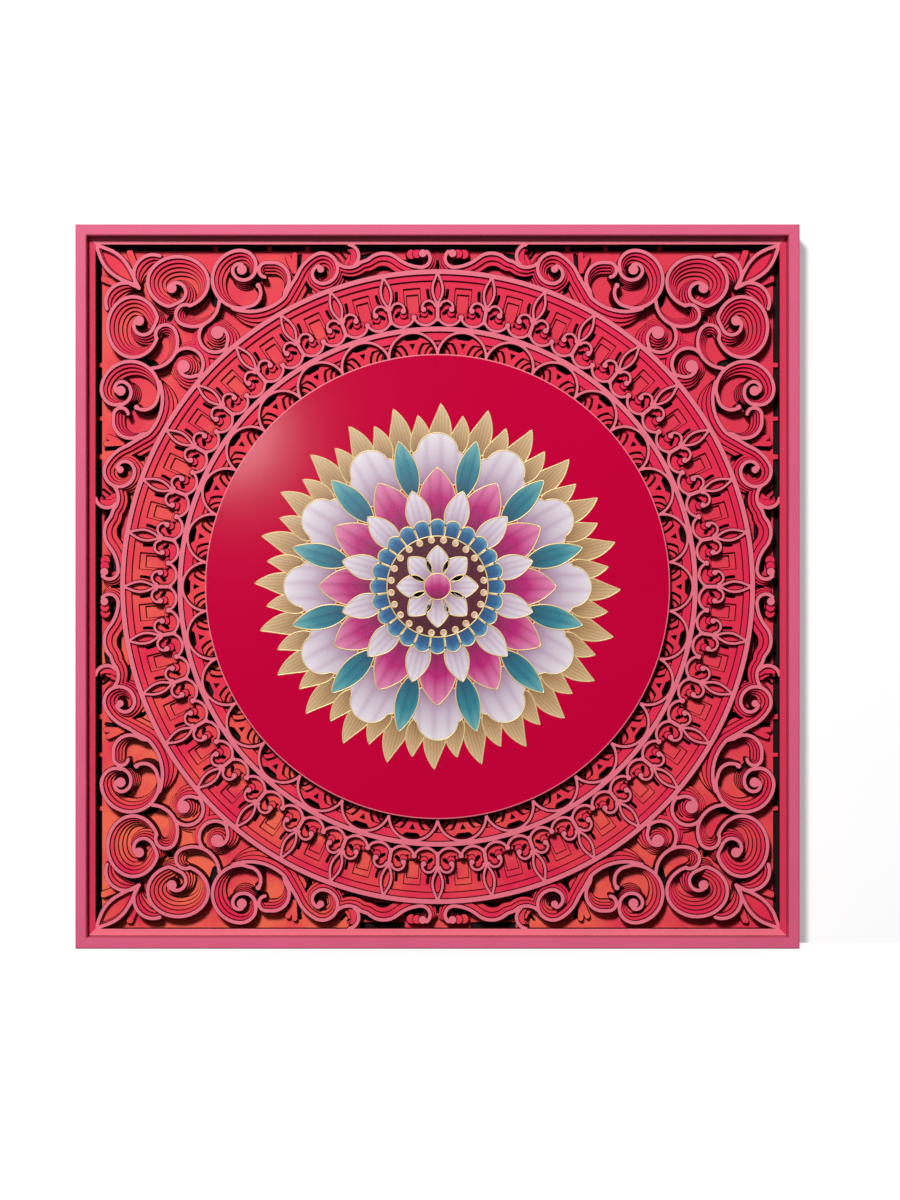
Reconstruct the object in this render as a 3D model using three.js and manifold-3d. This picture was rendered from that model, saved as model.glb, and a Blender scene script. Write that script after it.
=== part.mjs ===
// Framed fretwork wall panel: a square shadow-box frame, a stack of pierced plies and a round disc.
// Millimetres, +Z up. It stands on its lower edge with the fretwork facing -Y.
import * as THREE from "three";
import { mergeVertices } from "three/addons/utils/BufferGeometryUtils.js";
import Module from "manifold-3d";

const wasm = await Module();
wasm.setup();

// Sizes of the frame
const PANEL_SIDE = 600;
const FRAME_DEPTH = 40;
const RAIL_WIDTH = 9;
const RAIL_CHAMFER = 0.8;
const RABBET_WIDTH = 4;
const RABBET_DEPTH = 8;

// Sizes of the plies, with a thin glue gap between neighbours
const GLUE_GAP = 0.3;
const PLY_THICKNESS = 3;
const BOARD_THICKNESS = 3;
const BOARD_CLEARANCE = 0.5;
const RIM_CLEARANCE = 0.4;
const RIM_INNER = 285;
const BASE_HALF = 281.4;

// Sizes of the rings, the arches and the disc
const OUTER_RING = { inner: 260.3, outer: 265.2, sides: 36 };
const INNER_RING = { inner: 212.3, outer: 217, sides: 36 };
const HUB_RADIUS = 192;
const DISC_RADIUS = 193.5;
const DISC_THICKNESS = 3;
const DISC_SIDES = 72;
const FLEUR_COUNT = 36;
const ARCH_COUNT = 30;
const ARCH_RADIUS = 20.3;
const ARCH_HALF_STROKE = 1.3;

// Sizes of the corner scrolls
const SCROLL_HALF_STROKE = 2;
const JOINT_REACH = 4;
const SMALLEST_STEP = 0.05;
const LEAF = { tip: 285.5, base: 251, halfWidth: 8.3, stroke: 3.6 };

// One fleur, listed from its foot to its tip: distance from the middle and half width
const FLEUR_ROWS = [
  { radius: 215.5, half: 10.5 },
  { radius: 225.5, half: 2 },
  { radius: 233, half: 11.5 },
  { radius: 238, half: 4.2 },
  { radius: 249, half: 5 },
  { radius: 261, half: 1 },
];

// Scrolls of one half corner. Each arc turns about x, y from a start to an end radius, angles in degrees
const SCROLLS = [
  { name: "petal", arcs: [{ x: 236, y: 261, start: 18.6, end: 15.1, from: -32, sweep: 140 }] },
  {
    name: "great scroll",
    arcs: [
      { x: 216.4, y: 255.2, start: 24.1, end: 24.1, from: 244, sweep: -308 },
      { x: 218, y: 246.3, start: 9.3, end: 7.4, from: -106, sweep: -190 },
    ],
    bead: { x: 221.5, y: 249.4, radius: 4 },
  },
  {
    name: "foot hook",
    arcs: [
      { x: 210.5, y: 230, start: 6.8, end: 10.7, from: 115, sweep: -200 },
      { x: 205, y: 241, start: 21.7, end: 21.5, from: -86, sweep: -88 },
    ],
  },
  {
    name: "second scroll",
    arcs: [
      { x: 162.5, y: 265.5, start: 6, end: 17.2, from: 40, sweep: -318 },
      { x: 166.5, y: 257, start: 24.6, end: 23, from: 76, sweep: -236 },
    ],
    bead: { x: 162.9, y: 266.2, radius: 4.2 },
  },
  {
    name: "leaf scroll",
    arcs: [
      { x: 142, y: 265, start: 6, end: 8.4, from: -76, sweep: 190 },
      { x: 138.5, y: 256.5, start: 15, end: 15.4, from: 105, sweep: 120 },
      { x: 158, y: 272, start: 41.3, end: 41, from: 226, sweep: 54 },
    ],
  },
  {
    name: "rising scroll",
    arcs: [
      { x: 186, y: 291, start: 75, end: 76.5, from: 212, sweep: -15 },
      { x: 96, y: 266.5, start: 13.4, end: 12.7, from: 40, sweep: 222 },
      { x: 97, y: 260.4, start: 6.7, end: 6.7, from: 280, sweep: 135 },
    ],
  },
  {
    name: "wave",
    arcs: [
      { x: 13.5, y: 273.4, start: 8.2, end: 8.6, from: 130, sweep: 150 },
      { x: 44.5, y: 262, start: 17.8, end: 18.4, from: 130, sweep: -84 },
      { x: 74, y: 281, start: 14, end: 14.2, from: 224, sweep: 92 },
    ],
  },
  { name: "rim hook", arcs: [{ x: 76, y: 276, start: 12, end: 12, from: 196, sweep: -76 }] },
  {
    name: "ring hook",
    arcs: [{ x: 186, y: 210, start: 17.5, end: 9, from: 44, sweep: -240 }],
    bead: { x: 183.6, y: 211.6, radius: 5.2 },
  },
];

// Windows between the fleurs in the lower plies: inner and outer edge, half angle at each
const PLY_WINDOWS = {
  2: { inner: 219, outer: 256, innerHalf: 3.9, outerHalf: 3.6 },
  3: { inner: 222, outer: 252, innerHalf: 3.1, outerHalf: 2.9 },
};

// Stepped round pockets inside the corner scrolls of the two square plies
const POCKETS = [
  { x: 217, y: 257, ply4: 19, ply5: 13 },
  { x: 168, y: 252, ply4: 16, ply5: 10 },
];
const POCKET_SIDES = 6;
const BASE_HOLE = { distance: 224.6, radius: 3.5, sides: 8 };

// Hanger on the back board
const HANGER = { width: 62, height: 16, thickness: 1.2, rise: 1.5, foot: 9, drop: 60, teeth: 9 };

// Depths along the panel, measured from mid depth towards the front
const RAIL_FRONT = FRAME_DEPTH / 2;
const RAIL_BACK = -FRAME_DEPTH / 2;
const BOARD_FRONT = RAIL_BACK + RABBET_DEPTH - GLUE_GAP;
const BOARD_BACK = BOARD_FRONT - BOARD_THICKNESS;
const PLY_COUNT = 6;
const PLY_PITCH = PLY_THICKNESS + GLUE_GAP;
const plyBack = (ply) => BOARD_FRONT + GLUE_GAP + (PLY_COUNT - ply) * PLY_PITCH;
const FACE_FRONT = plyBack(1) + PLY_THICKNESS;

const FINISH = {
  frame: { color: 0xdb6088, roughness: 0.45, metalness: 0 },
  board: { color: 0x6b4a33, roughness: 0.85, metalness: 0 },
  face: { color: 0xe87688, roughness: 0.55, metalness: 0 },
  ply2: { color: 0xdc4a60, roughness: 0.55, metalness: 0 },
  ply3: { color: 0xd83e52, roughness: 0.55, metalness: 0 },
  ply4: { color: 0xd63c48, roughness: 0.55, metalness: 0 },
  ply5: { color: 0xda4440, roughness: 0.55, metalness: 0 },
  base: { color: 0xd83a48, roughness: 0.55, metalness: 0 },
  disc: { color: 0xc2053c, roughness: 0.2, metalness: 0 },
  hanger: { color: 0xb9b9bd, roughness: 0.35, metalness: 1 },
};

const panel = new THREE.Group();
panel.name = "fretwork_wall_panel";
panel.rotation.x = Math.PI / 2;
panel.position.z = PANEL_SIDE / 2;

const radians = (degrees) => (degrees * Math.PI) / 180;
const polar = (radius, degrees) =>
  new THREE.Vector2(radius * Math.cos(radians(degrees)), radius * Math.sin(radians(degrees)));

function addMesh(name, geometry, finish) {
  const mesh = new THREE.Mesh(geometry, new THREE.MeshStandardMaterial(finish));
  mesh.name = name;
  panel.add(mesh);
}

// Turn a closed geometry into a solid that can be joined and cut
function solidOf(geometry) {
  const bare = geometry.clone();
  bare.deleteAttribute("normal");
  bare.deleteAttribute("uv");
  const merged = mergeVertices(bare, 1e-4);
  return new wasm.Manifold(
    new wasm.Mesh({
      numProp: 3,
      vertProperties: Float32Array.from(merged.attributes.position.array),
      triVerts: Uint32Array.from(merged.index.array),
    })
  );
}

function geometryOf(solid) {
  const mesh = solid.getMesh();
  const geometry = new THREE.BufferGeometry();
  geometry.setAttribute("position", new THREE.BufferAttribute(mesh.vertProperties, 3));
  geometry.setIndex(new THREE.BufferAttribute(mesh.triVerts, 1));
  geometry.computeVertexNormals();
  return geometry;
}

// Flat shape raised into a plate
function slabGeometry(points, back, thickness, holes = []) {
  const shape = new THREE.Shape(points);
  shape.holes = holes.map((hole) => new THREE.Path(hole));
  const geometry = new THREE.ExtrudeGeometry(shape, { depth: thickness, bevelEnabled: false });
  return geometry.translate(0, 0, back);
}

const slab = (points, back, thickness, holes) => solidOf(slabGeometry(points, back, thickness, holes));
const joinAll = (solids) => solids.reduce((whole, next) => whole.add(next));

function circle(x, y, radius, sides, turn = 0) {
  const points = [];
  for (let i = 0; i < sides; i += 1) {
    points.push(polar(radius, turn + (360 * i) / sides).add(new THREE.Vector2(x, y)));
  }
  return points;
}

function square(half) {
  return [
    new THREE.Vector2(-half, -half),
    new THREE.Vector2(half, -half),
    new THREE.Vector2(half, half),
    new THREE.Vector2(-half, half),
  ];
}

// Strip of even width along a line of points
function ribbon(line, half) {
  const left = [];
  const right = [];
  line.forEach((point, i) => {
    const before = line[Math.max(i - 1, 0)];
    const after = line[Math.min(i + 1, line.length - 1)];
    const along = after.clone().sub(before).normalize();
    const across = new THREE.Vector2(-along.y, along.x).multiplyScalar(half);
    left.push(point.clone().add(across));
    right.unshift(point.clone().sub(across));
  });
  return left.concat(right);
}

// Points along one spiral arc, wider steps on small turns
function arcPoints(arc) {
  const step = Math.max(arc.start, arc.end) > 12 ? 62 : 80;
  const count = Math.max(1, Math.round(Math.abs(arc.sweep) / step));
  const points = [];
  for (let i = 0; i <= count; i += 1) {
    const radius = THREE.MathUtils.lerp(arc.start, arc.end, i / count);
    points.push(polar(radius, arc.from + (arc.sweep * i) / count).add(new THREE.Vector2(arc.x, arc.y)));
  }
  return points;
}

// Line of a whole scroll, leaving out the start of an arc that meets the end of the one before
function scrollLine(arcs) {
  const line = [];
  arcs.flatMap(arcPoints).forEach((point) => {
    if (line.length === 0 || line[line.length - 1].distanceTo(point) > JOINT_REACH) {
      line.push(point);
    }
  });
  return line;
}

// The eight places of a corner scroll: both halves of each of the four corners
const PLACES = [-1, 1].flatMap((sx) =>
  [-1, 1].flatMap((sy) => [false, true].map((swap) => ({ sx, sy, swap })))
);

function placed(points, place) {
  const moved = points.map((point) => {
    const [x, y] = place.swap ? [point.y, point.x] : [point.x, point.y];
    return new THREE.Vector2(x * place.sx, y * place.sy);
  });
  return THREE.ShapeUtils.isClockWise(moved) ? moved.reverse() : moved;
}

// Turn points about the middle of the panel
function turned(points, degrees) {
  const middle = new THREE.Vector2();
  return points.map((point) => point.clone().rotateAround(middle, radians(degrees)));
}

function ring(size, back) {
  const turn = 90;
  const outer = circle(0, 0, size.outer, size.sides, turn);
  const inner = circle(0, 0, size.inner, size.sides, turn);
  return slab(outer, back, PLY_THICKNESS, [inner]);
}

// Pointed leaf on the corner diagonal, pierced by a smaller leaf
function cornerLeaf(back) {
  const middle = (LEAF.tip + LEAF.base) / 2;
  const long = ((LEAF.tip - LEAF.base) / 2) * Math.SQRT2;
  const outline = (length, half) => [
    new THREE.Vector2(length, 0),
    new THREE.Vector2(length * 0.5, half * 0.75),
    new THREE.Vector2(0, half),
    new THREE.Vector2(-length * 0.5, half * 0.75),
    new THREE.Vector2(-length, 0),
    new THREE.Vector2(-length * 0.5, -half * 0.75),
    new THREE.Vector2(0, -half),
    new THREE.Vector2(length * 0.5, -half * 0.75),
  ];
  const seat = (points) =>
    turned(points, 45).map((point) => point.add(new THREE.Vector2(middle, middle)));
  const hole = outline(long - LEAF.stroke * 2, LEAF.halfWidth - LEAF.stroke);
  return { outer: seat(outline(long, LEAF.halfWidth)), hole: seat(hole), back };
}

// Mitred rail: the section runs along the top edge and its ends follow the corner diagonals
function railGeometry() {
  const half = PANEL_SIDE / 2;
  const section = [
    [0, RAIL_BACK],
    [RAIL_WIDTH - RABBET_WIDTH, RAIL_BACK],
    [RAIL_WIDTH - RABBET_WIDTH, RAIL_BACK + RABBET_DEPTH],
    [RAIL_WIDTH, RAIL_BACK + RABBET_DEPTH],
    [RAIL_WIDTH, RAIL_FRONT - RAIL_CHAMFER],
    [RAIL_WIDTH - RAIL_CHAMFER, RAIL_FRONT],
    [RAIL_CHAMFER, RAIL_FRONT],
    [0, RAIL_FRONT - RAIL_CHAMFER],
  ].map(([inset, depth]) => new THREE.Vector2(inset, depth));
  const geometry = new THREE.ExtrudeGeometry(new THREE.Shape(section), { depth: 1, bevelEnabled: false });
  const place = geometry.attributes.position;
  for (let i = 0; i < place.count; i += 1) {
    const inset = place.getX(i);
    const depth = place.getY(i);
    const side = place.getZ(i) > 0.5 ? -1 : 1;
    place.setXYZ(i, side * (half - inset - GLUE_GAP / 2), half - inset, depth);
  }
  geometry.computeVertexNormals();
  return geometry;
}

function addFrame() {
  const names = ["frame_rail_top", "frame_rail_left", "frame_rail_bottom", "frame_rail_right"];
  names.forEach((name, i) => {
    addMesh(name, railGeometry().rotateZ((i * Math.PI) / 2), FINISH.frame);
  });
}

function addBackBoard() {
  const half = PANEL_SIDE / 2 - RAIL_WIDTH + RABBET_WIDTH - BOARD_CLEARANCE;
  addMesh("back_board", slabGeometry(square(half), BOARD_BACK, BOARD_THICKNESS), FINISH.board);
}

// Window between two fleurs of a lower ply
function windowPoints(size, degrees) {
  return [
    polar(size.inner, degrees - size.innerHalf),
    polar(size.outer, degrees - size.outerHalf),
    polar(size.outer, degrees + size.outerHalf),
    polar(size.inner, degrees + size.innerHalf),
  ];
}

function fleurWindows(ply) {
  const pitch = 360 / FLEUR_COUNT;
  const windows = [];
  for (let i = 0; i < FLEUR_COUNT; i += 1) {
    windows.push(windowPoints(PLY_WINDOWS[ply], (i + 0.5) * pitch));
  }
  return windows;
}

function addRoundPlies() {
  const edge = circle(0, 0, OUTER_RING.outer, OUTER_RING.sides, 90);
  addMesh("fret_ply_2", slabGeometry(edge, plyBack(2), PLY_THICKNESS, fleurWindows(2)), FINISH.ply2);
  addMesh("fret_ply_3", slabGeometry(edge, plyBack(3), PLY_THICKNESS, fleurWindows(3)), FINISH.ply3);
}

function pocketHoles(column) {
  return PLACES.flatMap((place) =>
    POCKETS.map((pocket) => placed(circle(pocket.x, pocket.y, pocket[column], POCKET_SIDES), place))
  );
}

function addSquarePlies() {
  const fourth = pocketHoles("ply4");
  const fifth = pocketHoles("ply5");
  addMesh("fret_ply_4", slabGeometry(square(BASE_HALF), plyBack(4), PLY_THICKNESS, fourth), FINISH.ply4);
  addMesh("fret_ply_5", slabGeometry(square(BASE_HALF), plyBack(5), PLY_THICKNESS, fifth), FINISH.ply5);
  const at = BASE_HOLE.distance;
  const holes = [0, 90, 180, 270].map((degrees) =>
    turned(circle(at, at, BASE_HOLE.radius, BASE_HOLE.sides), degrees)
  );
  addMesh("fret_base", slabGeometry(square(BASE_HALF), plyBack(6), PLY_THICKNESS, holes), FINISH.base);
}

// Scrolls, leaves and rim of the face ply
function cornerSolids(back) {
  const leaf = cornerLeaf(back);
  const solids = [0, 90, 180, 270].map((degrees) =>
    slab(turned(leaf.outer, degrees), back, PLY_THICKNESS, [turned(leaf.hole, degrees)])
  );
  SCROLLS.forEach((scroll) => {
    const strip = ribbon(scrollLine(scroll.arcs), SCROLL_HALF_STROKE);
    PLACES.forEach((place) => {
      solids.push(slab(placed(strip, place), back, PLY_THICKNESS));
      if (scroll.bead) {
        const bead = circle(scroll.bead.x, scroll.bead.y, scroll.bead.radius, 6);
        solids.push(slab(placed(bead, place), back, PLY_THICKNESS));
      }
    });
  });
  return solids;
}

// One fleur standing between the two rings
function fleurPoints() {
  const right = FLEUR_ROWS.map((row) => new THREE.Vector2(row.radius, -row.half));
  const left = FLEUR_ROWS.map((row) => new THREE.Vector2(row.radius, row.half)).reverse();
  return right.concat(left);
}

// One round arch springing from the hub to the inner ring
function archPoints() {
  const half = { x: HUB_RADIUS + 0.5, y: 0, start: ARCH_RADIUS, end: ARCH_RADIUS, sweep: 96 };
  const rising = arcPoints({ ...half, from: -96 });
  const falling = arcPoints({ ...half, from: 0 }).slice(1);
  return ribbon(rising.concat(falling), ARCH_HALF_STROKE).reverse();
}

function addFacePly() {
  const back = plyBack(1);
  const rimOuter = PANEL_SIDE / 2 - RAIL_WIDTH - RIM_CLEARANCE;
  const rim = slab(square(rimOuter), back, PLY_THICKNESS, [square(RIM_INNER)]);
  const hub = slab(circle(0, 0, HUB_RADIUS, INNER_RING.sides, 90), back, PLY_THICKNESS);
  const solids = [rim, hub, ring(OUTER_RING, back), ring(INNER_RING, back), ...cornerSolids(back)];
  for (let i = 0; i < FLEUR_COUNT; i += 1) {
    solids.push(slab(turned(fleurPoints(), 90 + (360 * i) / FLEUR_COUNT), back, PLY_THICKNESS));
  }
  for (let i = 0; i < ARCH_COUNT; i += 1) {
    const degrees = 90 + (360 * (i + 0.5)) / ARCH_COUNT;
    solids.push(slab(turned(archPoints(), degrees), back, PLY_THICKNESS));
  }
  addMesh("fret_face", geometryOf(joinAll(solids).asOriginal().simplify(SMALLEST_STEP)), FINISH.face);
}

function addDisc() {
  const edge = circle(0, 0, DISC_RADIUS, DISC_SIDES, 90);
  addMesh("picture_disc", slabGeometry(edge, FACE_FRONT + GLUE_GAP, DISC_THICKNESS), FINISH.disc);
}

// Bent strip with a toothed lower edge, its feet flat on the board
function addHanger() {
  const half = HANGER.width / 2;
  const top = PANEL_SIDE / 2 - HANGER.drop;
  const low = top - HANGER.height;
  const bridge = half - HANGER.foot;
  const points = [new THREE.Vector2(half, low), new THREE.Vector2(half, top)];
  points.push(new THREE.Vector2(-half, top), new THREE.Vector2(-half, low));
  const tooth = (bridge * 2) / HANGER.teeth;
  for (let i = 0; i < HANGER.teeth; i += 1) {
    points.push(new THREE.Vector2(-bridge + i * tooth, low));
    points.push(new THREE.Vector2(-bridge + (i + 0.5) * tooth, low + tooth * 0.5));
  }
  points.push(new THREE.Vector2(bridge, low));
  const seat = BOARD_BACK - GLUE_GAP;
  const plate = slab(points.reverse(), seat - HANGER.rise - HANGER.thickness, HANGER.thickness);
  const feet = [-1, 1].map((side) => {
    const near = side * (bridge + 1);
    const foot = [new THREE.Vector2(near, low), new THREE.Vector2(side * half, low)];
    foot.push(new THREE.Vector2(side * half, top), new THREE.Vector2(near, top));
    const outline = side > 0 ? foot : foot.reverse();
    return slab(outline, seat - HANGER.rise - HANGER.thickness / 2, HANGER.rise + HANGER.thickness / 2);
  });
  addMesh("wall_hanger", geometryOf(joinAll([plate, ...feet])), FINISH.hanger);
}

addFrame();
addBackBoard();
addSquarePlies();
addRoundPlies();
addFacePly();
addDisc();
addHanger();

export default panel;
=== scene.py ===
"""Framed fretwork wall panel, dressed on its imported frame.

Metres, +Z up. The panel stands on its lower edge and the fretwork faces -Y.
The art tables are in millimetres from the middle of the panel.
"""
import math

import bmesh
import bpy
import numpy as np
from mathutils import Matrix, Vector


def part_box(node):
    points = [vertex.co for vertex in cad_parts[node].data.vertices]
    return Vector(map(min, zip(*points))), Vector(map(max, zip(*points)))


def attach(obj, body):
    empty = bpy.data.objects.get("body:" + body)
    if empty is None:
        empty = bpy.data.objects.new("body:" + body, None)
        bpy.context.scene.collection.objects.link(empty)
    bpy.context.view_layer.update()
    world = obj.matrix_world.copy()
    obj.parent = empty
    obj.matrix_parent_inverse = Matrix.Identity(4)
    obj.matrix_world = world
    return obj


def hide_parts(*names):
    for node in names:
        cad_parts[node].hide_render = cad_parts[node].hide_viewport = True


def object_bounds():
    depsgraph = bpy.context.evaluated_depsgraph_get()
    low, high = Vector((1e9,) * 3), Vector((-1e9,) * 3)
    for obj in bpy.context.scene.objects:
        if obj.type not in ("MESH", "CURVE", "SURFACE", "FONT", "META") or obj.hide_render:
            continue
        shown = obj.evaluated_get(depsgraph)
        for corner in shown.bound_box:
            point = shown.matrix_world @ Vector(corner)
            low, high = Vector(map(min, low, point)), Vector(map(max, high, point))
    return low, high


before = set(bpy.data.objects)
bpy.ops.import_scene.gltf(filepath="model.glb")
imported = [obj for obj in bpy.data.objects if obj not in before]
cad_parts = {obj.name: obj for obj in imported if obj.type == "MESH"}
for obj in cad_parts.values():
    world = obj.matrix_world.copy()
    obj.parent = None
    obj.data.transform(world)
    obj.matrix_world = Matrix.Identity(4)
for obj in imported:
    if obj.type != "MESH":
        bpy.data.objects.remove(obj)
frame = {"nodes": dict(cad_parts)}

bl_info = {
    "name": "Fretwork wall panel",
    "version": (1, 0, 0),
    "blender": (4, 5, 0),
    "location": "View3D > Sidebar > Fretwork",
    "description": "Dresses a framed panel of layered fretwork with a round picture disc",
    "category": "Object",
}

CAD_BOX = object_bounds()
MM = 0.001
BODY = "root"

# Places read from the frame
PANEL_LOW, PANEL_HIGH = CAD_BOX
PANEL_SIDE = PANEL_HIGH.x - PANEL_LOW.x
MIDDLE_HEIGHT = (PANEL_LOW.z + PANEL_HIGH.z) / 2
RIM_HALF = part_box("fret_face")[1].x / MM
BASE_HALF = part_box("fret_base")[1].x / MM
DISC_RADIUS = (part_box("picture_disc")[1].z - MIDDLE_HEIGHT) / MM

# Plies from the face down to the base
PLY_NODES = ["fret_face", "fret_ply_2", "fret_ply_3", "fret_ply_4", "fret_ply_5", "fret_base"]
PLY_SLOTS = ["face_paint", "ply_2_paint", "ply_3_paint", "ply_4_paint", "ply_5_paint", "base_paint"]
FACE, PLY_2, PLY_3, PLY_4, PLY_5, BASE = range(6)
WARMTH = {PLY_2: 0.4, PLY_3: 0.65, PLY_4: 1.1, PLY_5: 1.2, BASE: 1.2}
FAR = 60.0
TINY = 1e-9

# Steps of an arc on either side of its line: none at its start, its peak and its end
NONE = (0, 0, 0)


def arc(x, y, start, end, first, sweep, inner=NONE, outer=NONE, peak=0.5, plies=PLY_5, flat=1.0):
    """Arc about x, y with its start and end radius, and its first angle and sweep in degrees.

    Inner and outer are how far each lower ply steps out on that side of the line, at the start, at the
    peak and at the end. Plies is how many of them step out, and flat how far the height is flattened.
    """
    return {"x": x, "y": y, "start": start, "end": end, "first": first, "sweep": sweep, "inner": inner,
            "outer": outer, "peak": peak, "plies": plies, "flat": flat}


def slit(x0, y0, x1, y1, half, top=PLY_4):
    """Slit with round ends: its two ends, its half width and the highest ply that it cuts."""
    return {"ends": np.array([[x0, y0], [x1, y1]]), "half": half, "top": top}


def cell_ring(name, shape, finish, count, low, high, half, turn=0.0):
    """Ring of cells with their inner and outer reach, half width and turn in pitches."""
    return {"name": name, "shape": shape, "finish": finish, "count": count, "low": low, "high": high,
            "half": half, "turn": turn}


# Rings, fleurs and arches round the disc
RIM_INNER = 285.0
OUTER_RING = 262.4
INNER_RING = 214.6
HUB_RADIUS = 190.0
FLEUR_PITCH = 10.0
ARCH_PITCH = 12.0
ARCH = {"middle": 192.3, "radius": 20.3}
CUSP_RADIUS = 193.0
ARCH_BAND = {"low": 203.9, "high": 206.6}
CUP = arc(10.0, 228.4, 10.5, 10.5, 203, 133)
CURL = arc(7.5, 232.7, 5.5, 5.3, 168, -200)
CUP_FOOT = {"x": 10.0, "y": 227.9, "inner": 9.6, "outer": 11.25, "high": 222.0}
FLEUR_BEADS = [{"x": 11.7, "y": 230.9, "radius": 2.2}, {"x": 19.3, "y": 224.4, "radius": 1.8}]
LOWER_BEAD = {"x": 11.3, "y": 228.2, "radius": 2.9}
FLEUR_LEAF = {"low": 235.4, "high": 261.2, "half": 4.3}
STEM = {"low": 222.5, "high": 236.0, "extra": 0.5}
FLEUR_ZONE = (205, 270)
ARCH_ZONE = (186, 216)

# How far each lower ply steps out round a fleur, its leaf and an arch, and a reach that fills the leaf
FLEUR_STEP = 0.5
FLEUR_LEAF_STEP = 0.3
FLEUR_LEAF_FILL = 9.0
ARCH_STEP = 0.25

# Stepped windows midway between the fleurs: half width and reach of the opening in each ply
WINDOWS = {
    PLY_3: {"half": 7.3, "low": 228.0, "high": 250.2},
    PLY_4: {"half": 5.3, "low": 229.5, "high": 245.2},
}
RING_BAND = 255.6

# Openings of one fleur cut through to the near-black board, whose front is painted shade: under its cup,
# two eyes at its curl, and a slot beside its leaf given by its distance from the leaf line and its reach
CUP_WELL = {"low": INNER_RING + 1.9, "high": 222.4}
CURL_EYE = slit(7.8, 230.2, 5.3, 228.1, 1.6)
OUTER_EYE = slit(14.0, 226.8, 14.4, 225.4, 1.1)
LEAF_SLOT = {"near": 2.8, "far": 5.4, "low": 239.8, "high": 248.8}

# Straps that spring from the cusps under the arches, and the stepped fans inside them: near and far
# edges in each ply
STRAPS = {
    PLY_3: [(16.6, 21.2)],
    PLY_4: [(11.4, 14.6), (16.4, 21.4)],
    PLY_5: [(7.4, 9.8), (11.2, 14.8), (16.2, 21.4)],
    BASE: [(6.0, 9.9), (11.0, 15.0), (16.2, 21.4)],
}
SPANDREL_LOW = {PLY_2: 205.6, PLY_3: 202.4, PLY_4: 199.6, PLY_5: 197.4, BASE: 196.0}

# Leaf on the corner diagonal, measured along it from the middle of the panel, the zone round it, the
# step inside it, and a reach that fills it
CORNER_LEAF = {"low": 351.5, "high": 402.0, "half": 7.6, "sharp": 1.18}
CORNER_ZONE = {"before": 12, "aside": 30}
CORNER_LEAF_STEP = 1.0
CORNER_LEAF_FILL = 10.0

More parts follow.
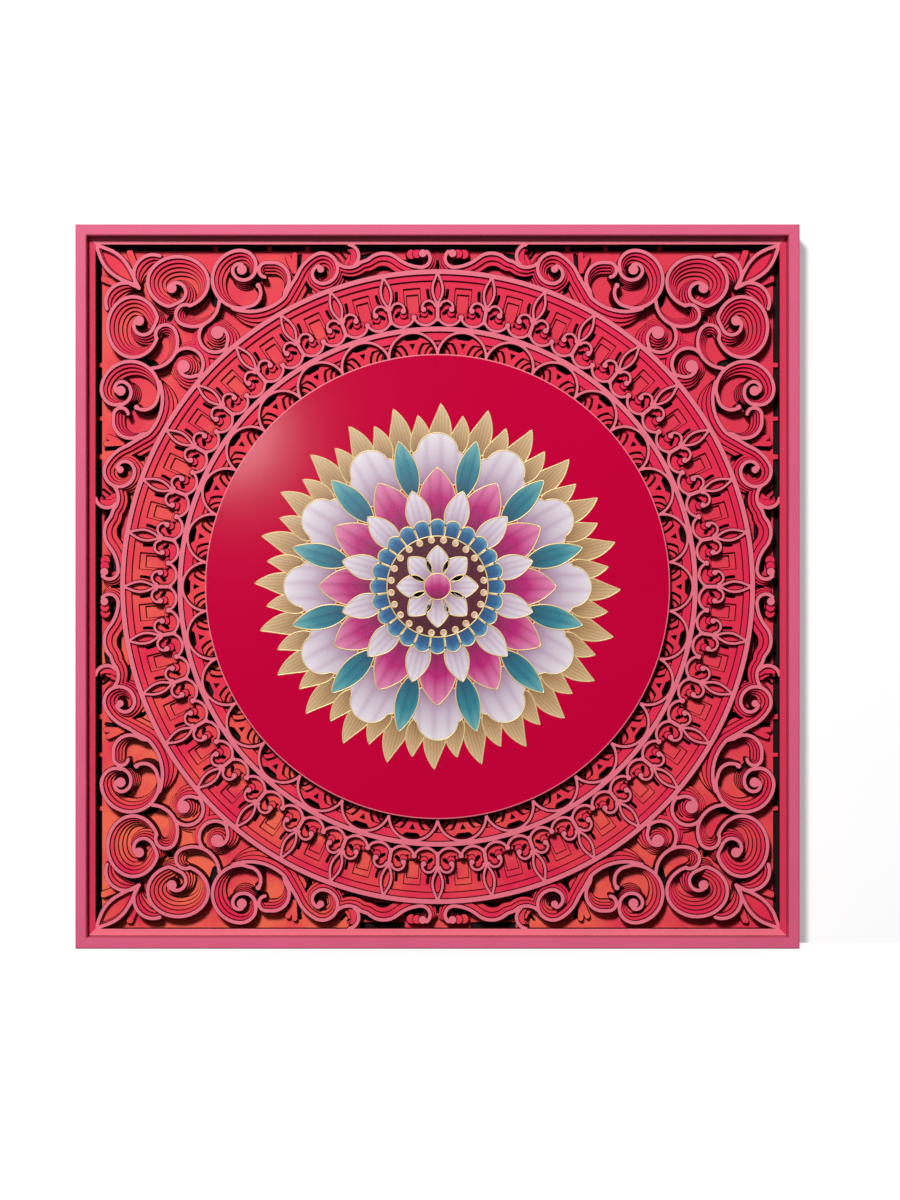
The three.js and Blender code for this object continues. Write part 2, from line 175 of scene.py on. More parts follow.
# Scrolls of one half corner: the arcs of a line, and the bead at its end. On the lower plies a bead grows
# and may drift sideways.
BEAD_GROWTH = 0.3
SCROLLS = {
    "petal": {"arcs": [
        arc(236, 261, 17.6, 15.1, -34, 142, inner=(0.2, 1, 0.5)),
    ]},
    "great scroll": {"arcs": [
        arc(216.2, 253.6, 25.2, 25.2, 248, -316, inner=(0.15, 1, 0.85), peak=0.55, flat=0.845),
        arc(218, 245.6, 9.0, 7.2, -106, -190, inner=(0.3, 0.2, 0), outer=(0.3, 0.7, 0), peak=0.3, plies=3),
    ], "bead": {"x": 221.5, "y": 248.6, "radius": 4.1}},
    "foot hook": {"arcs": [
        arc(209.6, 226.8, 8.0, 8.8, 108, -170, inner=(0, 0.6, 0.5), peak=0.6),
        arc(204.5, 237.8, 21, 22.6, -80, -100, inner=(0.5, 0.5, 0), peak=0.1),
    ]},
    "second scroll": {"arcs": [
        arc(164.6, 264, 4.4, 6.8, 115, -165, inner=(0, 0.2, 0.2), outer=(0, 0.2, 0.1), peak=0.7),
        arc(161.8, 265.6, 10.2, 10.4, -60, -110, inner=(0.2, 0.2, 0.3), outer=(0.1, 0.4, 0), peak=0.4),
        arc(162.2, 266, 10.3, 13.8, -170, -100, inner=(0.3, 0.7, 0.8), peak=0.6),
        arc(163.5, 256, 24.1, 24.1, 84, -176, inner=(0.8, 1, 0.1), peak=0.35, plies=3),
        arc(158.6, 244.9, 11.6, 11.2, -95, -115, inner=(0.1, 0.1, 0), outer=(0, 0.2, 0)),
    ], "bead": {"x": 163.1, "y": 264, "radius": 4.1}},
    "second scroll tail": {"arcs": [], "bead": {"x": 149.4, "y": 250.8, "radius": 2.1}},
    "leaf scroll": {"arcs": [
        arc(142.8, 263.4, 5.7, 6.6, -79, 175, inner=(0, 0.5, 0.7), peak=0.7),
        arc(138, 256.3, 13.8, 14.6, 93, 125, inner=(0.7, 0.7, 0.1), peak=0.12, plies=3),
        arc(158, 270, 42, 40.4, 226, 62, inner=(0.1, 0.1, 0), peak=0.1),
    ]},
    "long run": {"arcs": [
        arc(158, 270, 40.4, 42, 288, -60, outer=(0.1, 1.1, 1.1), plies=3),
        arc(186, 291, 75.5, 76, 211, -8, outer=(1.1, 1.1, 1), plies=3),
    ]},
    "rising scroll": {"arcs": [
        arc(186, 291, 76, 76, 207, -4, outer=(1, 1, 1), plies=3),
        arc(96, 265, 12.8, 12.6, 58, 217, inner=(1, 0.9, 0.25), outer=(0, 0.1, 0.9), peak=0.3, plies=3),
        arc(97.2, 260.6, 7.6, 6.8, 290, 145, inner=(0.15, 0.2, 0), outer=(0.9, 0.7, 0), peak=0.35, plies=2),
    ], "bead": {"x": 97.4, "y": 264.4, "radius": 2.9}},
    "wave": {"arcs": [
        arc(13.6, 273.4, 7.4, 7.4, 130, 145, inner=(0, 0.1, 0), outer=(0, 0.6, 0.6)),
        arc(44.5, 259.6, 17.8, 18.4, 130, -84, inner=(1, 1.3, 1.1), peak=0.55, plies=2),
        arc(74, 280, 14, 14.2, 228, 86, outer=(1.1, 0.9, 0.5), peak=0.4, plies=2),
    ], "bead": {"x": 12.4, "y": 277.6, "radius": 3.2, "drift": 4.8}},
    "rim hook": {"arcs": [
        arc(75.3, 275.2, 9.4, 9.8, 228, -128, inner=(1.2, 1.6, 0.6), peak=0.35, plies=2),
    ]},
    "ring hook": {"arcs": [
        arc(185.2, 208.6, 13.6, 13.3, 50, -186,
            inner=(0, 0.15, 0.2), outer=(0, 1.05, 0.9), peak=0.62, plies=3),
        arc(185.6, 209.4, 12.8, 7, -139, -102,
            inner=(0.2, 0.2, 0), outer=(0.9, 0.8, 0.2), peak=0.3, plies=3),
    ], "bead": {"x": 183.6, "y": 211.6, "radius": 5.2, "grow": 1.8}},
}

# Leaflets of the lower plies beside the corner leaf and the rising scroll, and tabs that tie the base
# to the rim
LEAFLETS = [
    slit(257.5, 279.5, 252.5, 266.5, 2.6),
    slit(119.6, 277.4, 120.2, 264, 2.2),
    slit(125.2, 275.4, 121.6, 267, 2.2),
]
TAB_OVERLAP = 0.5
TABS = [{"place": 186, "half": 1.8}, {"place": 141, "half": 1.6}, {"place": 109, "half": 2.0}]

# Slits cut through the lower plies to the near-black board, whose front is painted shade
WELLS = [
    slit(110, 258, 107, 247.5, 2.2),
    slit(80.3, 260.4, 67.3, 258.3, 2.2),
    slit(53, 266.6, 41, 266.8, 1.6),
    slit(115.2, 278, 117.2, 261, 1.6, top=PLY_5),
    slit(189.6, 253, 185.6, 238, 4.0),
    slit(154.6, 253.4, 148.6, 258.6, 2.2),
    slit(225, 224.2, 224.2, 225, 2.2),
    slit(0, 266, 0, 272, 1.3),
    slit(14.5, 271.8, 27, 272.2, 2.2),
    slit(190.2, 188.8, 188.8, 190.2, 1.8),
    slit(65, 276.5, 56, 278, 2.0),
    slit(81.5, 280.3, 76.7, 274.1, 1.1, top=PLY_2),
    slit(76.7, 281.3, 73.6, 277.9, 0.8, top=PLY_2),
]

# Raised floor in the middle of a corner
CORNER_FLOOR = {"place": 207.5, "radius": 15.0, "top": PLY_4}

# The base runs on below its lower edge, as far under the rim as this, but not under the waves
SILL_OVERLAP = 1.0
SILL_GAP = {"place": 46.5, "half": 19.0}

# Slips in the mitres of the frame: half thickness, how far behind the front they start and end
MITRE = {"half": 0.12, "recess": 0.3, "deep": 11.0}

# Rosette on the disc, from its lowest tier up
ROSETTE = [
    cell_ring("fringe_long", "lock", "fringe", 24, 108, 152, 9.4),
    cell_ring("fringe_short", "lock", "fringe", 24, 108, 143, 8.2, turn=0.5),
    cell_ring("cloud_lobe", "cloud", "cloud", 12, 86, 128, 26),
    cell_ring("teal_leaf", "petal", "teal", 12, 74, 125, 9.5, turn=0.5),
    cell_ring("great_petal", "petal", "magenta", 12, 48, 99, 15.5),
    cell_ring("small_petal", "petal", "cloud", 12, 44, 82, 10, turn=0.5),
    cell_ring("blue_scale", "scale", "blue", 24, 36, 56, 7),
    cell_ring("heart_plate", "round", "maroon", 1, -42, 42, 42),
    cell_ring("pearl", "round", "pearl", 24, 36.4, 41.2, 2.4, turn=0.5),
    cell_ring("heart_petal", "petal", "cloud", 8, 7, 34, 9.6),
    cell_ring("heart", "round", "magenta", 1, -11, 11, 11),
]

# Inks of the rosette: sRGB colours at the root, in the middle and at the tip of a cell, the place of the
# middle one, the colour of the strands and how close they lie
INKS = {
    "fringe": ((120, 74, 44), (196, 158, 112), (226, 196, 150), 0.55, (134, 88, 52), 22.0),
    "cloud": ((150, 96, 134), (206, 190, 204), (240, 232, 238), 0.45, (178, 140, 168), 13.0),
    "teal": ((24, 62, 92), (48, 132, 148), (122, 190, 190), 0.6, (28, 84, 112), 9.0),
    "magenta": ((110, 6, 62), (190, 24, 118), (238, 150, 190), 0.5, (144, 8, 84), 11.0),
    "blue": ((18, 48, 92), (46, 104, 152), (110, 170, 200), 0.7, (24, 66, 116), 7.0),
    "maroon": ((74, 8, 34), (92, 12, 42), (74, 8, 34), 0.5, (58, 4, 26), 30.0),
    "pearl": ((196, 136, 128), (226, 180, 166), (250, 232, 220), 0.5, (206, 150, 140), 5.0),
}

# Turned disc: its sides, the points of its front bevel inward from the rim and down from the front, as
# shares of the bevel's width, and the share of its back bevel
DISC_SIDES = 288
BEVEL = [(0, 0.5), (0.35, 0.12), (1, 0)]
BACK_BEVEL = 0.4

# Warm clouds on the lower plies: how fast they thicken towards the lower left, their share in the middle,
# the level of the noise where they begin and how sharply they set in
CLOUDS = {"drift": 0.95, "middle": 0.3, "level": 0.36, "contrast": 5.0}

# A face that points less than this far to the front is a sawn wall: in the paint, and when the walls
# are made to lean
WALL_FACING = 0.7
UPRIGHT = 0.5

# Slack in metres: round the sides of the rim, at the back of a ply, and between points that are welded
RIM_SLACK = 0.0003
BACK_SLACK = 1e-5
WELD = 1e-6

# Grid: how far past a shape its distance is worked out, and the shortest outline that is kept
MARGIN = 3
SHORTEST_LOOP = 8


def srgb(red, green, blue):
    """Linear colour of an sRGB colour given from 0 to 255."""
    def linear(value):
        value /= 255
        return value / 12.92 if value <= 0.04045 else ((value + 0.055) / 1.055) ** 2.4
    return tuple(linear(value) for value in (red, green, blue))


def length(name, description, millimetres):
    """Length property with a default in millimetres."""
    return bpy.props.FloatProperty(
        name=name, description=description, default=millimetres * MM, min=0.0, unit="LENGTH", precision=5)


def colour(name, description, default):
    """Colour property."""
    return bpy.props.FloatVectorProperty(
        name=name, description=description, default=default, min=0.0, max=1.0, subtype="COLOR", size=3)


class FretworkSizes(bpy.types.PropertyGroup):
    """Line widths and steps of the fretwork."""
    scroll_line: length("Scroll line", "Width of the corner scrolls on the face ply", 2.8)
    ring_line: length("Ring line", "Width of the two rings", 3.9)
    fleur_line: length("Fleur line", "Width of the fleurs between the rings", 1.9)
    arch_line: length("Arch line", "Width of the arches round the disc", 2.0)
    terrace: length("Terrace", "How far each lower ply steps out under a scroll", 3.2)
    fine_step: length("Fine step", "Spacing of the grid that the outlines are read from", 0.45)
    lean: length("Lean", "How far a sawn wall leans out from the front of its ply to the back", 0.65)


class RosetteSizes(bpy.types.PropertyGroup):
    """Measures of the printed rosette and of the disc under it."""
    film: length("Film", "Height of one printed tier", 0.1)
    line: length("Line", "Width of the gold outlines", 1.1)
    line_height: length("Line height", "How far a gold outline stands above its cell", 0.06)
    # The pale bevel round the disc is a painted highlight
    edge: length("Disc edge", "Width of the pale bevel round the disc", 1.0)


class PanelColours(bpy.types.PropertyGroup):
    """Paints and inks of the panel, with colours painted in for shade and for a highlight."""
    frame: colour("Frame", "Satin paint of the frame", srgb(222, 96, 130))
    face: colour("Face", "Paint of the face ply", srgb(231, 115, 133))
    ply_2: colour("Ply 2", "Paint of the second ply", srgb(229, 36, 80))
    ply_3: colour("Ply 3", "Paint of the third ply", srgb(228, 42, 76))
    ply_4: colour("Ply 4", "Paint of the fourth ply", srgb(227, 50, 78))
    ply_5: colour("Ply 5", "Paint of the fifth ply", srgb(228, 54, 78))
    base: colour("Base", "Paint of the base ply", srgb(226, 54, 78))
    warm: colour("Warm cloud", "Orange that clouds the lower plies", srgb(244, 106, 80))
    # Painted shade: the upright sides of the rim are darker, standing in for the shade on the frame's inner
    # side walls
    rim_side_shade: colour("Rim sides", "Deeper paint of the upright sides of the rim", srgb(206, 52, 82))
    # Partly the scorch of the laser cut, partly painted shade: the sawn walls are near black so that they
    # read as dark lines between the steps
    cut_edge: colour("Cut edge", "Dark cut walls of the plies", srgb(64, 6, 16))
    # Painted shade: the front of the board is near black so that the holes and the gaps round the plies
    # read as deep shade
    board_front_shade: colour("Board front", "Blackened front of the back board", srgb(16, 4, 7))
    board_back: colour("Board back", "Bare hardboard", srgb(122, 86, 58))
    disc: colour("Disc", "Gloss of the disc", srgb(196, 1, 57))
    # Painted highlight: the pale bevel stands in for the light caught by the disc's edge
    disc_edge: colour("Disc edge", "Pale bevel of the disc", srgb(236, 122, 138))
    gold: colour("Gold", "Outline ink", srgb(240, 212, 150))


class Wire:
    """Output socket of a shader tree; arithmetic on it adds Math nodes."""

    def __init__(self, finish, socket):
        self.finish = finish
        self.socket = socket

    def _math(self, operation, first, second):
        return self.finish.node("ShaderNodeMath", {"operation": operation}, {0: first, 1: second})

    def __add__(self, other):
        return self._math("ADD", self, other)

    def __radd__(self, other):
        return self._math("ADD", other, self)

    def __sub__(self, other):
        return self._math("SUBTRACT", self, other)

    def __rsub__(self, other):
        return self._math("SUBTRACT", other, self)

    def __mul__(self, other):
        return self._math("MULTIPLY", self, other)

    def __rmul__(self, other):
        return self._math("MULTIPLY", other, self)

    def __pow__(self, other):
        return self._math("POWER", self, other)

    def __abs__(self):
        return self.finish.node("ShaderNodeMath", {"operation": "ABSOLUTE"}, {0: self})

    def __gt__(self, other):
        return self._math("GREATER_THAN", self, other)

    def __lt__(self, other):
        return self._math("LESS_THAN", self, other)


class NodeTree:
    """Node tree that adds every node through node()."""

    def __init__(self, tree):
        self.tree = tree

    def node(self, kind, settings=None, inputs=None, output=0):
        """Add a node with its settings and inputs, and return one of its outputs."""
        node = self.tree.nodes.new(kind)
        for key, value in (settings or {}).items():
            setattr(node, key, value)
        for key, value in (inputs or {}).items():
            for item in value if isinstance(value, list) else [value]:
                self.join(item, node.inputs[key])
        return node.outputs[output]

    def join(self, value, socket):
        """Link an output to an input, or set the input to a plain value."""
        if isinstance(value, bpy.types.NodeSocket):
            self.tree.links.new(value, socket)
        elif socket.type == "RGBA" and len(value) == 3:
            socket.default_value = (*value, 1.0)
        else:
            socket.default_value = value


class Finish(NodeTree):
    """One material; every node but its shader comes from node(), as a wire."""

    def __init__(self, name, **constants):
        self.material = bpy.data.materials.new(name)
        self.material.use_nodes = True
        super().__init__(self.material.node_tree)
        self.shader = self.tree.nodes["Principled BSDF"]
        self.drive(**constants)

    def node(self, *arguments, **options):
        return Wire(self, super().node(*arguments, **options))

    def join(self, value, socket):
        super().join(value.socket if isinstance(value, Wire) else value, socket)

    def drive(self, **inputs):
        """Feed the shader's own sockets."""
        for name, value in inputs.items():
            self.join(value, self.shader.inputs[name.replace("_", " ")])
        return self.material

    def place(self):
        return self.node("ShaderNodeTexCoord", output="Object")

    def split(self, vector):
        node = self.node("ShaderNodeSeparateXYZ", None, {0: vector})
        return [Wire(self, socket) for socket in node.socket.node.outputs]

    def noise(self, scale, detail=3.0, vector=None):
        inputs = {"Vector": vector or self.place(), "Scale": scale, "Detail": detail}
        return self.node("ShaderNodeTexNoise", None, inputs)

    def mix(self, share, first, second):
        settings = {"data_type": "RGBA", "clamp_factor": True}
        return self.node("ShaderNodeMix", settings, {0: share, 6: first, 7: second}, output=2)

    def ramp(self, share, stops):
        wire = self.node("ShaderNodeValToRGB", None, {0: share})
        elements = wire.socket.node.color_ramp.elements
        while len(elements) < len(stops):
            elements.new(1.0)
        for element, (place, value) in zip(elements, stops):
            element.position = place
            element.color = (*value, 1.0)
        return wire

    def bump(self, height, strength, distance):
        inputs = {"Height": height, "Strength": strength, "Distance": distance}
        return self.node("ShaderNodeBump", None, inputs)


def tint(value, factor):
    """Colour made lighter or darker."""
    return tuple(min(1.0, channel * factor) for channel in value)


def paint_finish(name, value, wall=None, warm=None, warmth=1.0, deep=None, roughness=0.5):
    """Sprayed paint on wood fibre.

    The wall colour darkens the sawn walls, partly as their scorch and partly as painted shade; the warm
    colour clouds the paint towards the lower left; and the deep colour is painted shade on the upright
    sides of the rim.
    """
    finish = Finish(name, Specular_IOR_Level=0.08)
    place = finish.place()
    across, _, up = finish.split(place)
    cloudy = finish.noise(18.0, 4.0, place)
    grain = finish.noise(900.0, 2.0, place)
    paint = finish.mix(cloudy, tint(value, 0.92), tint(value, 1.06))
    if warm:
        drift = (MIDDLE_HEIGHT - up - across) * CLOUDS["drift"] + CLOUDS["middle"]
        patch = (finish.noise(26.0, 3.0, place) - CLOUDS["level"]) * CLOUDS["contrast"]
        paint = finish.mix(patch * warmth * drift, paint, warm)
    paint = finish.mix(grain * 0.12, paint, tint(value, 0.7))
    # Painted shade: the left and right sides of the rim take the darker deep colour
    if deep:
        side = abs(across)
        rim = (side > RIM_INNER * MM - RIM_SLACK) * (side > abs(up - MIDDLE_HEIGHT))
        paint = finish.mix(rim, paint, deep)
    # Sawn walls take the near-black wall colour: partly scorch, partly painted shade for the dark lines
    # between steps
    if wall:
        facing = finish.split(finish.node("ShaderNodeNewGeometry", output="Normal"))[1]
        paint = finish.mix(abs(facing) < WALL_FACING, paint, wall)
    peel = finish.noise(420.0, 2.0, place)
    return finish.drive(
        Base_Color=paint,
        Roughness=cloudy * 0.12 + (roughness - 0.06),
        Normal=finish.bump(peel + grain * 0.4, 0.12, 0.0004),
    )


def board_finish(colours):
    """Hardboard: near black on the side that shows through the cuts, as painted shade for the deep holes,
    and bare and speckled behind.
    """
    finish = Finish("hardboard", Specular_IOR_Level=0.2)
    depth = finish.split(finish.place())[1]
    low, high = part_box("back_board")
    behind = depth > (low.y + high.y) / 2
    fibre = finish.noise(340.0, 6.0)
    blotch = finish.noise(9.0, 3.0)
    bare = finish.mix(fibre, tint(colours.board_back, 0.62), tint(colours.board_back, 1.3))
    bare = finish.mix(blotch * 0.3, bare, tint(colours.board_back, 0.7))
    return finish.drive(
        Base_Color=finish.mix(behind, colours.board_front_shade, bare),
        Roughness=fibre * 0.2 + 0.65,
        Normal=finish.bump(fibre, 0.25, 0.0004),
    )


def steel_finish():
    """Zinc-plated strip with rolled streaks."""
    finish = Finish("hanger_steel", Metallic=1.0)
    stretch = {"Vector": finish.place(), "Scale": (12.0, 400.0, 900.0)}
    roll = finish.noise(1.0, 3.0, finish.node("ShaderNodeMapping", None, stretch))
    bloom = finish.noise(160.0, 4.0)
    plate = finish.mix(bloom, srgb(168, 170, 176), srgb(205, 205, 208))
    return finish.drive(
        Base_Color=plate,
        Roughness=roll * 0.25 + 0.25,
        Normal=finish.bump(roll, 0.15, 0.0002),
    )


def gloss_finish(name, value, edge=False):
    """Varnished gloss with a faint cloud in the colour and a soft ripple."""
    finish = Finish(name, Coat_Roughness=0.1, Specular_IOR_Level=0.12, Coat_Weight=0.0 if edge else 0.12)
    cloudy = finish.noise(5.0, 2.0)
    speck = finish.noise(240.0, 2.0)
    ink = finish.mix(cloudy, tint(value, 0.92), tint(value, 1.06))
    ripple = finish.noise(60.0, 2.0)
    return finish.drive(
        Base_Color=finish.mix(speck * 0.08, ink, tint(value, 0.8)),
        Roughness=cloudy * 0.06 + (0.4 if edge else 0.1),
        Normal=finish.bump(ripple + speck * 0.2, 0.05, 0.0003),
    )


def cell_finish(name, stops, streak, count):
    """Printed cell shaded from its root to its tip, with fine strands that follow it."""
    finish = Finish(name, Specular_IOR_Level=0.5, Coat_Weight=0.3, Coat_Roughness=0.08)
    measure = finish.node("ShaderNodeAttribute", {"attribute_name": "cell"}, output="Vector")
    across, along, _ = finish.split(measure)
    ink = finish.ramp(along + abs(across) * 0.18 - 0.06, stops)
    wave = finish.node("ShaderNodeMath", {"operation": "SINE"}, {0: across * count})
    strand = (wave * 0.5 + 0.5) ** 3.0
    ink = finish.mix(strand * 0.55 * (1.0 - along * 0.6), ink, streak)
    grain = finish.noise(500.0, 2.0)
    return finish.drive(
        Base_Color=finish.mix(grain * 0.1, ink, streak),
        Roughness=grain * 0.08 + 0.24,
        Normal=finish.bump(strand, 0.08, 0.0002),
    )


def gold_finish(value):
    """Pale gold ink with a little sparkle."""
    finish = Finish("gold_line", Metallic=0.25)
    flake = finish.noise(700.0, 2.0)
    return finish.drive(
        Base_Color=finish.mix(flake, tint(value, 0.85), tint(value, 1.1)),
        Roughness=flake * 0.2 + 0.28,
        Normal=finish.bump(flake, 0.1, 0.0002),
    )


def add_to_scene(name, data):
    """Object at the origin in the scene's collection."""
    piece = bpy.data.objects.new(name, data)
    bpy.context.scene.collection.objects.link(piece)
    return piece


def seat(piece, slot, *nodes):
    """The piece rides on the panel and stands for CAD nodes, which it hides; its slot is not used."""
    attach(piece, BODY)
    if nodes:
        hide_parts(*nodes)
    return piece


def to_front(depth):
    """Matrix that stands flat art up on the panel, its back at this depth."""
    stand = Matrix.Rotation(math.radians(90), 4, "X")
    return Matrix.Translation((0, depth, MIDDLE_HEIGHT)) @ stand


class GeometryTree(NodeTree):
    """Geometry node tree with named inputs and one geometry output."""

    def __init__(self, name, sockets):
        super().__init__(bpy.data.node_groups.new(name, "GeometryNodeTree"))
        self.tree.interface.new_socket("Geometry", in_out="INPUT", socket_type="NodeSocketGeometry")
        for socket, kind in sockets.items():
            self.tree.interface.new_socket(socket, in_out="INPUT", socket_type=kind)
        self.tree.interface.new_socket("Geometry", in_out="OUTPUT", socket_type="NodeSocketGeometry")
        self.given = self.tree.nodes.new("NodeGroupInput").outputs
        self.result = self.tree.nodes.new("NodeGroupOutput").inputs

    def close(self, geometry):
        real = self.node("GeometryNodeRealizeInstances", None, {"Geometry": geometry})
        painted = self.node("GeometryNodeSetMaterial", None,
                            {"Geometry": real, "Material": self.given["Material"]})
        self.tree.links.new(painted, self.result["Geometry"])
        return self.tree


def pierced_plate_tree():
    """Fills closed outlines and raises them into a plate."""
    sockets = {"Thickness": "NodeSocketFloat", "Material": "NodeSocketMaterial"}
    tree = GeometryTree("Pierced plate", sockets)
    flat = tree.node("GeometryNodeFillCurve", None, {"Curve": tree.given["Geometry"]})
    raised = tree.node("GeometryNodeExtrudeMesh", {"mode": "FACES"},
                       {"Mesh": flat, "Offset Scale": tree.given["Thickness"], "Individual": False})
    under = tree.node("GeometryNodeFlipFaces", None, {"Mesh": flat})
    whole = tree.node("GeometryNodeJoinGeometry", None, {"Geometry": [raised, under]})
    welded = tree.node("GeometryNodeMergeByDistance", None, {"Geometry": whole, "Distance": WELD})
    return tree.close(welded)


def ring_places(tree, geometry):
    """Copies of one cell turned evenly about the middle."""
    points = tree.node("GeometryNodePoints", None, {"Count": tree.given["Count"]})
    index = tree.node("GeometryNodeInputIndex")
    pitch = tree.node("ShaderNodeMath", {"operation": "DIVIDE"}, {0: math.tau, 1: tree.given["Count"]})
    place = tree.node("ShaderNodeMath", {"operation": "ADD"}, {0: index, 1: tree.given["Turn"]})
    angle = tree.node("ShaderNodeMath", {"operation": "MULTIPLY"}, {0: place, 1: pitch})
    turn = tree.node("ShaderNodeCombineXYZ", None, {"Z": angle})
    return tree.node("GeometryNodeInstanceOnPoints", None,
                     {"Points": points, "Instance": geometry, "Rotation": turn})


RING_SOCKETS = {"Count": "NodeSocketInt", "Turn": "NodeSocketFloat", "Material": "NodeSocketMaterial"}


def ring_tree():
    """Ring of like cells."""
    tree = GeometryTree("Ring of cells", RING_SOCKETS)
    return tree.close(ring_places(tree, tree.given["Geometry"]))


def outline_tree():
    """Ring of raised outlines swept along the edge of a cell."""
    sockets = {"Line width": "NodeSocketFloat", "Line height": "NodeSocketFloat", **RING_SOCKETS}
    tree = GeometryTree("Ring of outlines", sockets)
    section = tree.node("GeometryNodeCurvePrimitiveQuadrilateral", None,
                        {"Width": tree.given["Line width"], "Height": tree.given["Line height"]})
    line = tree.node("GeometryNodeCurveToMesh", None,
                     {"Curve": tree.given["Geometry"], "Profile Curve": section, "Fill Caps": True})
    return tree.close(ring_places(tree, line))


def grown(name, data, tree, values, place):
    """Plain mesh of the node tree's result on this data, moved to its place."""
    source = add_to_scene(name + "_source", data)
    modifier = source.modifiers.new("Nodes", "NODES")
    modifier.node_group = tree
    for socket in tree.interface.items_tree:
        if socket.in_out == "INPUT" and socket.name in values:
            modifier[socket.identifier] = values[socket.name]
    graph = bpy.context.evaluated_depsgraph_get()
    mesh = bpy.data.meshes.new_from_object(source.evaluated_get(graph))
    source.modifiers.remove(modifier)
    bpy.data.objects.remove(source)
    if not mesh.polygons:
        raise RuntimeError(f"{name} came out empty")
    mesh.transform(place)
    mesh.name = name
    return mesh


def read_array(items, field, shape, kind=np.float64):
    """Array of one field of a mesh's vertices, faces or corners."""
    values = np.empty(len(items) * math.prod(shape), kind)
    items.foreach_get(field, values)
    return values.reshape(-1, *shape)


def lean_walls(mesh, back, lean):
    """Lean the sawn walls of a standing plate: the rim of its back grows, but not against the frame."""
    places = read_array(mesh.vertices, "co", (3,))
    normals = read_array(mesh.polygons, "normal", (3,))
    counts = read_array(mesh.polygons, "loop_total", (), np.int32)
    corners = read_array(mesh.loops, "vertex_index", (), np.int32)
    owners = np.repeat(np.arange(len(counts)), counts)
    upright = np.abs(normals[owners, 1]) < UPRIGHT
    outward = np.zeros_like(places)
    np.add.at(outward, corners[upright], normals[owners[upright]])
    outward /= np.maximum(np.linalg.norm(outward, axis=1), TINY)[:, None]
    reach = np.maximum(np.abs(places[:, 0]), np.abs(places[:, 2] - MIDDLE_HEIGHT))
    moved = (places[:, 1] > back - BACK_SLACK) & (reach < RIM_HALF * MM - 2 * lean)
    places[moved] += outward[moved] * lean
    mesh.vertices.foreach_set("co", places.ravel())
    mesh.update()


def outline_curve(name, loops):
    """Flat curve of closed outlines given in millimetres."""
    curve = bpy.data.curves.new(name, "CURVE")
    curve.dimensions = "2D"
    curve.fill_mode = "NONE"
    for loop in loops:
        spline = curve.splines.new("POLY")
        spline.points.add(len(loop) - 1)
        flat = np.zeros((len(loop), 4))
        flat[:, :2] = loop * MM
        flat[:, 3] = 1.0
        spline.points.foreach_set("co", flat.ravel())
        spline.use_cyclic_u = True
    return curve


def spiral(row, spacing=0.8):
    """Points along an arc whose radius runs from its start to its end; it may be flattened in height."""
    reach = math.radians(abs(row["sweep"])) * max(row["start"], row["end"])
    count = max(4, int(reach / spacing))
    share = np.linspace(0, 1, count + 1)
    angle = np.radians(row["first"] + row["sweep"] * share)
    radius = row["start"] + (row["end"] - row["start"]) * share
    rise = radius * np.sin(angle) * row["flat"]
    return np.stack([row["x"] + radius * np.cos(angle), row["y"] + rise], axis=1)


def lens(low, high, half, sharp=0.92, fullness=1.0, count=24):
    """One side of a pointed leaf, from its base to its tip along the second axis."""
    share = np.linspace(0, 1, count + 1)
    side = half * np.sin(np.pi * share ** sharp) ** fullness
    return np.stack([side, low + (high - low) * share], axis=1)


def distance_to(line, u, v):
    """Distance to a line of points, whether a place lies on its left, and the share of the line there."""
    best = np.full(u.shape, 1e9, np.float32)
    left = np.zeros(u.shape, bool)
    along = np.zeros(u.shape, np.float32)
    spans = np.hypot(*np.diff(line, axis=0).T)
    reached = np.concatenate([[0], np.cumsum(spans)]) / spans.sum()
    for i, ((x0, y0), (x1, y1)) in enumerate(zip(line[:-1], line[1:])):
        dx, dy = x1 - x0, y1 - y0
        square = max(dx * dx + dy * dy, TINY)
        share = np.clip(((u - x0) * dx + (v - y0) * dy) / square, 0, 1)
        gap = np.hypot(u - x0 - share * dx, v - y0 - share * dy)
        nearer = gap < best
        best = np.where(nearer, gap, best)
        left = np.where(nearer, dx * (v - y0) - dy * (u - x0) > 0, left)
        along = np.where(nearer, reached[i] + share * (reached[i + 1] - reached[i]), along)
    return best, left, along


def slit_distance(row, u, v):
    """Signed distance to the edge of a slit."""
    return distance_to(row["ends"], u, v)[0] - row["half"]


def band(values, low, high):
    """Signed distance to the edges of a band of values."""
    return np.maximum(low - values, values - high)


def swell(share, widths, peak):
    """Width of a step along its arc, eased between its widths at the start, the peak and the end."""
    near = np.clip(np.minimum(share / peak, (1 - share) / (1 - peak)), 0, 1)
    ends = np.where(share < peak, widths[0], widths[2])
    return ends + (widths[1] - ends) * np.sin(near * np.pi / 2)


def bridge(before, after, spacing=0.8):
    """Points of a smooth curve from the end of one line up to the start of the next, tangent to both."""
    start, end = before[-1], after[0]
    gap = np.hypot(*(end - start))
    steps = (before[-1] - before[-2], after[1] - after[0])
    leave, arrive = (step / np.hypot(*step) * gap for step in steps)
    t = np.linspace(0, 1, int(gap / spacing) + 2)[:-1, None]
    return ((2 * t ** 3 - 3 * t ** 2 + 1) * start + (t ** 3 - 2 * t ** 2 + t) * leave
            + (3 * t ** 2 - 2 * t ** 3) * end + (t ** 3 - t ** 2) * arrive)


def scroll_lines(scroll):
    """Each arc of a scroll as a line that starts where the one before it ends."""
    lines = []
    for row in scroll["arcs"]:
        line = spiral(row)
        if lines:
            line = np.concatenate([bridge(lines[-1], line), line])
        lines.append(line)
    return lines


